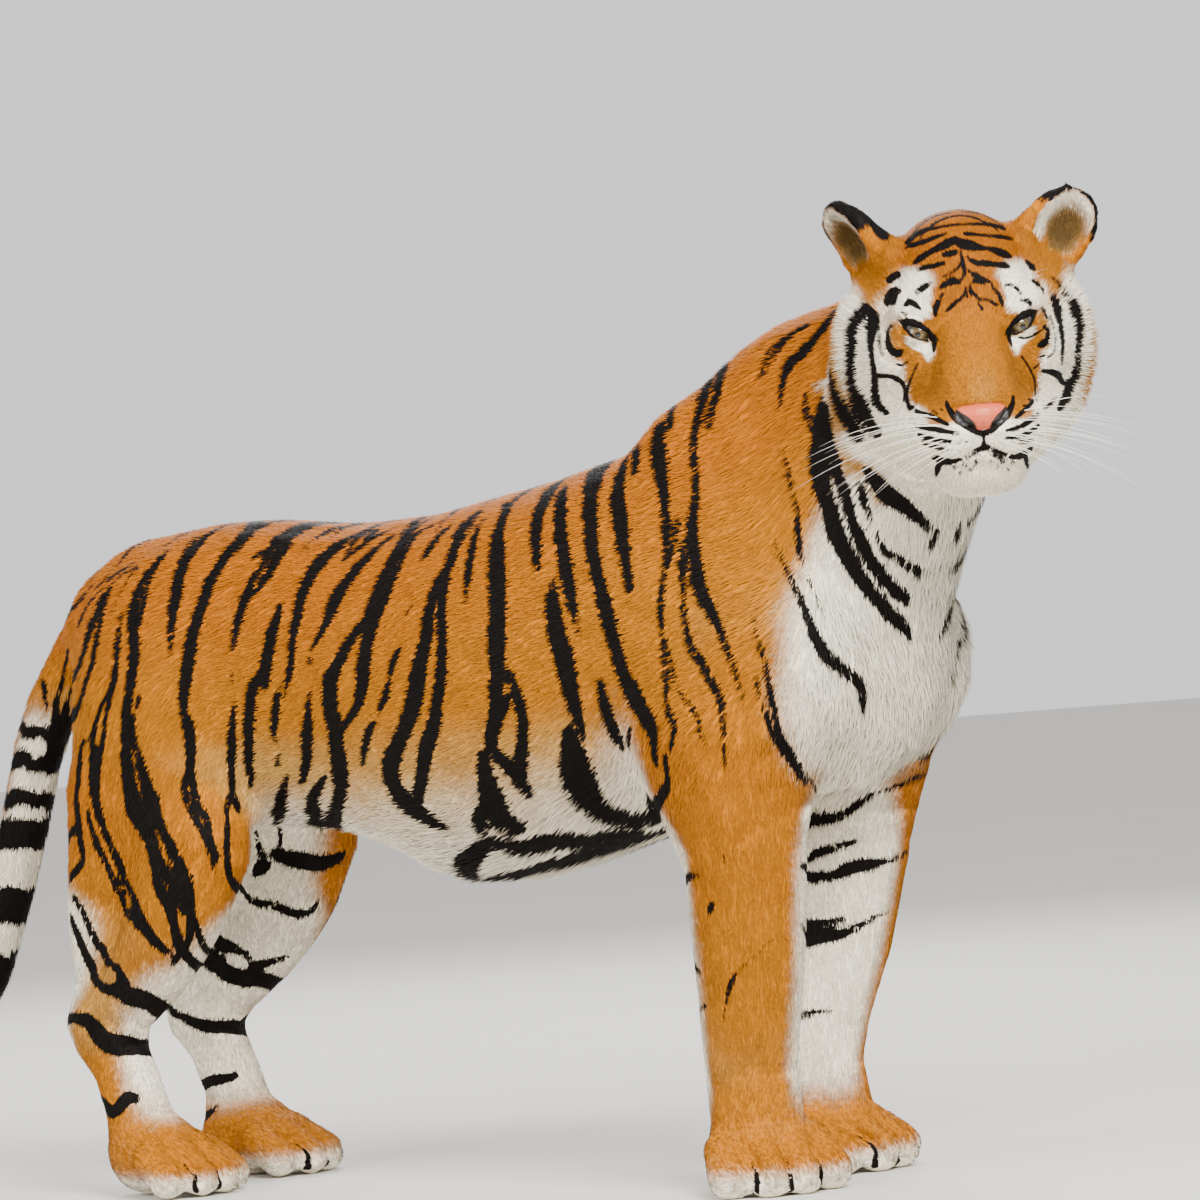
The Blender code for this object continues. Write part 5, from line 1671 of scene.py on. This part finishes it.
def rims(skin):
    """How far each point lies from the black round the eyes' openings, less than 0 in it."""
    dark = np.full(len(skin.points), 0.05)
    place = to_head(skin.points)
    for side in (-1, 1):
        above = soft(place[:, 2] - 0.4 * (np.abs(place[:, 1]) - EYE_HALF_APART), -0.006, 0.002)
        rim = off_opening(place, side) - RIM * (0.85 + 1.0 * above)
        dark = np.where(near_eye(place, side, 0.030), rim, dark)
    return dark


def ear_colours(skin, name, looks):
    """Black behind with a white spot and at the tip, pale inside, with painted shade darkening its hollow."""
    own = skin.names == name
    place = in_frame(skin.points, ear_frame(name)) * 1000
    facing = skin.normals @ np.array(ear_frame(name).to_3x3())[:, 0]
    behind = soft(facing, 0.15, -0.15)
    lining = patch(place[:, 1:], (0, 34), (32, 42), edge=0.12) * (1 - behind)
    spot = patch(place[:, 1:], (0, 34), (18, 16), edge=0.15) * behind
    tip = soft(place[:, 2], 30, 46) * (1 - lining)
    black = np.maximum(behind * soft(place[:, 2], -2, 10), tip) * (1 - spot)
    # The hollow low in the ear is painted shade: less white there, and much dimmer.
    hollow = patch(place[:, 1:], (side_of(name) * 9, 26), (22, 30), edge=0.4) * lining
    looks["white"][own] = np.maximum(lining * 0.8 * (1 - 0.85 * hollow), spot)[own]
    looks["pale"][own] = (0.3 + 0.7 * hollow)[own]
    looks["dim"][own] = (0.9 - 0.75 * hollow)[own]
    looks["dark"][own] = (0.006 - 0.012 * black)[own]


def colours(skin):
    """How white, how pale an orange and how dim the coat is at each point of the skin, and its own black."""
    place = to_head(skin.points) * 1000
    flat = np.column_stack([np.abs(place[:, 1]), place[:, 2]])
    white, pale = face_colours(skin, *body_colours(skin), place, flat)
    looks = {"white": white, "pale": pale, "dark": rims(skin), "dim": dimness(skin, white, place, flat)}
    for name in EAR_TURNS:
        ear_colours(skin, name, looks)
    return looks


# ---------------------------------------------------------------- eyes, nose, claws and whiskers


def turned_to(way):
    """A turn that brings Z to the given way."""
    return Vector(way).to_track_quat("Z", "Y").to_matrix().to_4x4()


def eye(side):
    """A ball with a low clear bulge in front, whose iris and pupil are rings round the way that it looks."""
    name = "eye_left" if side > 0 else "eye_right"
    centre = middle(name)
    gaze = HEAD_AXES @ unit(np.array((1.0, side * 0.16, 0.06)))
    shape = bmesh.new()
    bmesh.ops.create_uvsphere(shape, u_segments=64, v_segments=72, radius=EYE_RADIUS)
    off = np.array([vert.co.angle(Vector((0, 0, 1))) for vert in shape.verts])
    for vert, angle in zip(shape.verts, off):
        vert.co *= 1 + 0.030 * float(soft(np.array(angle), 0.66, 0.30))
    bmesh.ops.transform(shape, matrix=Matrix.Translation(centre) @ turned_to(gaze), verts=shape.verts)
    ball = Finish(name.replace("_", " "), Roughness=0.12, IOR=1.38, Coat_Weight=1.0, Coat_Roughness=0.03)
    angle = ball.own("off")
    fleck = ball.noise(0.0016, 2.0)
    iris = ball.mix((angle + (fleck - 0.5) * 0.10).step(0.18, 0.42), paint(104, 80, 26), paint(60, 48, 18))
    iris = ball.mix((fleck - 0.35).step(0.0, 0.4) * 0.5, iris, paint(66, 52, 24))
    ringed = ball.mix(angle.step(0.55, 0.64), iris, paint(30, 22, 16))
    white = ball.mix(angle.step(0.68, 0.76), ringed, paint(44, 30, 24))
    ball.set("Base Color", ball.mix(angle.step(0.205, 0.180), white, paint(6, 5, 5)))
    piece = shown(shape, name + "_ball", ball.material)
    store(piece.data, "off", off)
    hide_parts(name)


# In mm: half the pink leather's width at each height, the nostrils' bent lines and the groove between them.
LEATHER = ((-108, 3), (-104, 6), (-98, 8), (-92, 11), (-87, 16), (-82, 24), (-78, 31), (-74, 33), (-70, 30))
NOSTRIL, NOSE_GROOVE = ((13, -99), (21, -93), (28, -85)), ((0, -96), (0, -112))


def nose():
    """The solid's own shape, made fine, with nostrils pressed in and a groove down its middle."""
    fine = even_cells(mesh_from(merged(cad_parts["nose"]), "nose"), 1.1 * MM)
    rounded(fine, 3)
    place = to_head(points_of(fine))
    flat = np.column_stack([np.abs(place[:, 1]), place[:, 2]]) * 1000
    front = soft(place[:, 0], 0.095, 0.105)
    hole = np.exp(-((off_run(flat, NOSTRIL) / 3.4) ** 2))
    groove = np.exp(-((off_run(flat, NOSE_GROOVE) / 1.3) ** 2))
    place[:, 0] += 2.2 * MM * np.exp(-((flat[:, 0] / 16) ** 2)) * front
    place[:, 0] -= (hole * 6.0 + groove * 1.4) * MM * front
    place[:, 0] -= 7 * MM * soft(flat[:, 1], -79, -71)
    move_points(fine, from_head(place))
    half = np.interp(flat[:, 1], *np.array(LEATHER, float).T)
    leather = Finish("leather", Roughness=0.42)
    grain = leather.noise(0.0022, 3.0)
    pink = leather.mix(grain, paint(192, 72, 40), paint(212, 98, 62))
    black = (leather.own("rim") + (leather.noise(0.004, 3.0) - 0.5) * 3.0).step(-0.8, 1.2)
    leather.set("Base Color", leather.mix(black, pink, paint(26, 20, 20)))
    leather.bump(leather.noise(0.0012, 2.0), 0.00035, 0.8)
    piece = shown(fine, "nose_leather", leather.material)
    # The leather is black outside its pink outline, its own colour, and black in the nostrils as painted
    # shade inside them.
    store(fine, "rim", np.maximum(flat[:, 0] - half, hole * 6 - 2.0))
    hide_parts("nose")


def bent_spike(shape, line, radii, sides):
    """A tapered tube through the points of line, pointed where its radius is near nothing."""
    line = [Vector(point) for point in line]
    frames = []
    for number, (point, radius) in enumerate(zip(line, radii)):
        way = line[min(number + 1, len(line) - 1)] - line[max(number - 1, 0)]
        frames.append(Matrix.Translation(point) @ turned_to(way) @ Matrix.Scale(radius, 4))
    ring = bmesh.ops.create_circle(shape, cap_ends=True, segments=sides, radius=1, matrix=frames[0])["verts"]
    edges = list(dict.fromkeys(edge for vert in ring for edge in vert.link_edges))
    for before, after in zip(frames, frames[1:]):
        made = bmesh.ops.extrude_edge_only(shape, edges=edges)["geom"]
        ring = [part for part in made if isinstance(part, bmesh.types.BMVert)]
        edges = [part for part in made if isinstance(part, bmesh.types.BMEdge) and part.is_boundary]
        bmesh.ops.transform(shape, matrix=after @ before.inverted(), verts=ring)
    bmesh.ops.edgeloop_fill(shape, edges=edges)


# A claw's bent line, forward and up from its toe's place, and its radii along it.
CLAW_LINE = ((-0.012, 0, 0.034), (0, 0, 0.032), (0.009, 0, 0.026), (0.014, 0, 0.017), (0.0145, 0, 0.010))
CLAW_RADII = (0.0045, 0.0042, 0.0032, 0.0018, 0.0003)
# Each toe's place: so many toes' widths to the side, and forward by that share of the paw's length.
TOES = ((-1.5, 0.20), (-0.5, 0.34), (0.5, 0.34), (1.5, 0.20))


def claws():
    """A curved claw at each toe, drawn back so that little more than its tip shows."""
    shape = bmesh.new()
    for place, heading, width, long in PAWS:
        paw = paw_frame(place, heading)
        for step, reach in TOES:
            fan = math.radians(step * 7)
            tip = (reach * long + 0.158 * width, step * 0.245 * width * 1.06 + 0.02 * math.sin(fan), 0)
            at = paw @ Matrix.Translation(tip) @ Matrix.Rotation(fan, 4, "Z")
            bent_spike(shape, [at @ Vector(point) for point in CLAW_LINE], CLAW_RADII, 10)
    bmesh.ops.recalc_face_normals(shape, faces=shape.faces)
    horn = Finish("horn", Roughness=0.35)
    tint = horn.noise(0.004, 2.0, (1, 1, 0.3))
    horn.set("Base Color", horn.mix(tint, paint(196, 178, 148), paint(120, 102, 82)))
    shown(shape, "claws", horn.material)


# On the whisker pads and over the eyes: mm out from the middle and up from between the eyes, and lengths.
WHISKER_ROOTS = (
    (26, -122, 60), (34, -121, 85), (42, -119, 110), (50, -117, 130), (58, -115, 120), (66, -113, 100),
    (28, -113, 60), (36, -112, 90), (45, -110, 120), (54, -107, 150), (62, -105, 140), (70, -103, 110),
    (44, -98, 80), (52, -97, 120), (60, -96, 140), (67, -95, 110), (50, -89, 60), (58, -88, 80),
    (30, -129, 45), (38, -128, 60), (46, -126, 70), (55, -124, 75),
)
BROW_ROOTS = ((40, 34, 55), (46, 38, 62), (52, 40, 58), (58, 40, 44))
# No hair goes further ahead or further to the right than these.
MOST_AHEAD, MOST_RIGHT = 1.138, -0.2415
HAIR_SHARES = np.linspace(0, 1, 9)


def shortened(line):
    """The same bent line, drawn in towards its root until it stays in reach."""
    line = np.array(line)
    while (line[:, 0] > MOST_AHEAD).any() or (line[:, 1] < MOST_RIGHT).any():
        line = line[0] + (line - line[0]) * 0.95
    return line


def hair_ways(side, up):
    """The way that a hair leaves the skin at that height and the way it sweeps to, in the head's frame."""
    if up > 0:
        return np.array((0.7, side * 0.6, 0.6)), np.array((-0.6, side * 0.3, -0.4))
    lead = np.array((-0.15 if side > 0 else -0.42, side * 0.9, 0.05 + (up + 95) * 0.013))
    return lead, np.array((-0.30, 0.25 if side > 0 else 0.05, -0.60))


def whiskers(tree):
    """Long tapered hairs from the pads and shorter ones over the eyes, sweeping out, back and down."""
    shape = bmesh.new()
    for side in (-1, 1):
        for out, up, long in WHISKER_ROOTS + BROW_ROOTS:
            start = from_head(np.array([(0.3, side * out * MM, up * MM)]))
            places, found = cast(tree, start, -HEAD_AXES[:, 0], 0.5)
            if not found[0]:
                continue
            thick, longer = (0.40, 1.0) if up > 0 else (0.72, 1.15)
            long *= MM * RANDOM.uniform(0.85, 1.1) * longer
            lead, sweep = hair_ways(side, up)
            lead = unit(lead + RANDOM.normal(0, 0.06, 3))
            line = [places[0] - HEAD_AXES @ lead * 2 * MM]
            for share in HAIR_SHARES[1:]:
                line.append(places[0] + HEAD_AXES @ (lead * long * share + sweep * long * 0.42 * share**2))
            radii = [thick * MM * (1 - share * 0.93) for share in HAIR_SHARES]
            bent_spike(shape, shortened(line), radii, 4)
    bmesh.ops.recalc_face_normals(shape, faces=shape.faces)
    white = Finish("whiskers", Roughness=0.35)
    white.set("Base Color", white.mix(white.noise(0.02), paint(240, 234, 222), paint(222, 212, 196)))
    shown(shape, "whiskers", white.material)


# ---------------------------------------------------------------- putting it together


class Skin:
    """The skin, inside the solids by the coat's depth, with what the coat needs at each of its points."""

    def __init__(self):
        self.mesh = bare_skin()
        self.read()
        self.names = nearest_nodes(self.points)
        self.kinds = kind(self.names)
        self.lie = lie_of_coat(self.points, self.normals, self.edges, self.kinds)
        self.sizes = coat_sizes(self.points, self.normals, self.edges, self.kinds)
        even = unit(evened(self.normals, self.edges, 2))
        sunk = shape_paws(self.points - even * self.sizes[:, 2:3], even)
        move_points(self.mesh, shape_face(sunk))
        self.read()
        self.tree = BVHTree.FromPolygons(self.points.tolist(), self.faces.tolist())
        on_head = np.isin(self.kinds, ("head", "jaw", "ear"))
        self.middles = np.where(on_head, to_head(self.points)[:, 1], self.points[:, 1])

    def read(self):
        self.points, self.normals = points_of(self.mesh), normals_of(self.mesh)
        self.edges, self.faces = edges_of(self.mesh), triangles_of(self.mesh)


REGIONS = {
    "coat_flank": lambda skin: (skin.kinds == "trunk") & (skin.points[:, 0] > -0.05),
    "coat_haunch": lambda skin: (skin.kinds == "trunk") & (skin.points[:, 0] <= -0.05),
    "coat_head": lambda skin: np.isin(skin.kinds, ("head", "jaw", "ear")),
    "coat_foreleg": lambda skin: np.isin(skin.kinds, ("foreleg", "forepaw")),
    "coat_hindleg": lambda skin: np.isin(skin.kinds, ("thigh", "shank", "hindpaw")),
    "coat_neck": lambda skin: skin.kinds == "neck",
    "coat_tail": lambda skin: skin.kinds == "tail",
}
WHOLE = ("coat_neck", "coat_tail")  # the others are a right and a left piece


def parts_of(skin, name):
    """Names and picks of the skin's faces for the pieces of the coat that a region makes."""
    inside = REGIONS[name](skin)[skin.faces].sum(axis=1) >= 2
    if name in WHOLE:
        return [(name, inside)]
    right = skin.middles[skin.faces].mean(axis=1) < 0
    return [(name + "_right", inside & right), (name + "_left", inside & ~right)]


def tiger():
    """The skin with its coat, then the eyes, nose, claws and whiskers."""
    skin = Skin()
    mark_body(skin.tree)
    looks = colours(skin)
    fields = {"lie": skin.lie, "sizes": skin.sizes, "bare": bareness(skin)} | looks
    finish = fur_finish()
    store(skin.mesh, "white", looks["white"])
    store(skin.mesh, "pale", looks["pale"])
    store(skin.mesh, "stripe", np.minimum(off_marks(skin.points), looks["dark"]))
    store(skin.mesh, "tone_and_shade", looks["dim"])
    store(skin.mesh, "along", np.full(len(skin.points), 1.0))
    piece = shown(skin.mesh, "skin", finish)
    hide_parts(*FLESH)
    for region in REGIONS:
        for name, own in parts_of(skin, region):
            coat_piece(name, Bed(skin, own, fields), finish)
    for side in (-1, 1):
        eye(side)
    nose()
    claws()
    whiskers(skin.tree)


# ---------------------------------------------------------------- floor, lights and camera

# Each light's name, place, the point it looks at, its side and its watts.
LIGHTS = (
    ("key", (4.2, -2.6, 4.2), (0.3, 0, 0.7), 2.4, 680),
    ("fill", (-1.5, -5.0, 2.6), (0, 0, 0.6), 3.0, 210),
    ("rim", (-2.5, 3.5, 3.8), (0, 0, 0.8), 2.5, 260),
)
CAMERA_AT, LENS = (4.232, -5.187, 0.607), 157.2
VIEW_TURN, VIEW_TILT, VIEW_ROLL = math.radians(37.0), math.radians(91.0), math.radians(-4.5)


def floor():
    """A plain pale floor."""
    shape = bmesh.new()
    bmesh.ops.create_grid(shape, x_segments=1, y_segments=1, size=60)
    piece = linked("floor", mesh_from(shape, "floor"))
    plain = Finish("floor", Roughness=0.95, Specular_IOR_Level=0.1)
    plain.set("Base Color", plain.mix(plain.noise(0.8), paint(206, 203, 197), paint(213, 210, 204)))
    piece.data.materials.append(plain.material)


def lights():
    """A pale surround and three large soft lights."""
    world = bpy.data.worlds.new("studio")
    bpy.context.scene.world = world
    world.use_nodes = True
    surround = world.node_tree.nodes["Background"]
    surround.inputs["Color"].default_value = (0.95, 0.95, 0.96, 1)
    surround.inputs["Strength"].default_value = 1.15
    for name, place, aim, size, power in LIGHTS:
        light = bpy.data.lights.new(name, "AREA")
        light.energy, light.size = power, size
        lamp = linked(name, light)
        lamp.location = place
        lamp.rotation_euler = (Vector(aim) - Vector(place)).to_track_quat("-Z", "Y").to_euler()


def camera():
    """A long lens to the right of the animal and in front of it, low down and tipped a little clockwise."""
    lens = bpy.data.cameras.new("camera")
    lens.lens, lens.sensor_width, lens.clip_end = LENS, 36.0, 60.0
    view = linked("camera", lens)
    turn = Matrix.Rotation(VIEW_TURN, 4, "Z") @ Matrix.Rotation(VIEW_TILT, 4, "X")
    turn @= Matrix.Rotation(VIEW_ROLL, 4, "Z")
    view.matrix_world = Matrix.Translation(CAMERA_AT) @ turn
    bpy.context.scene.camera = view


tiger()
floor()
lights()
camera()
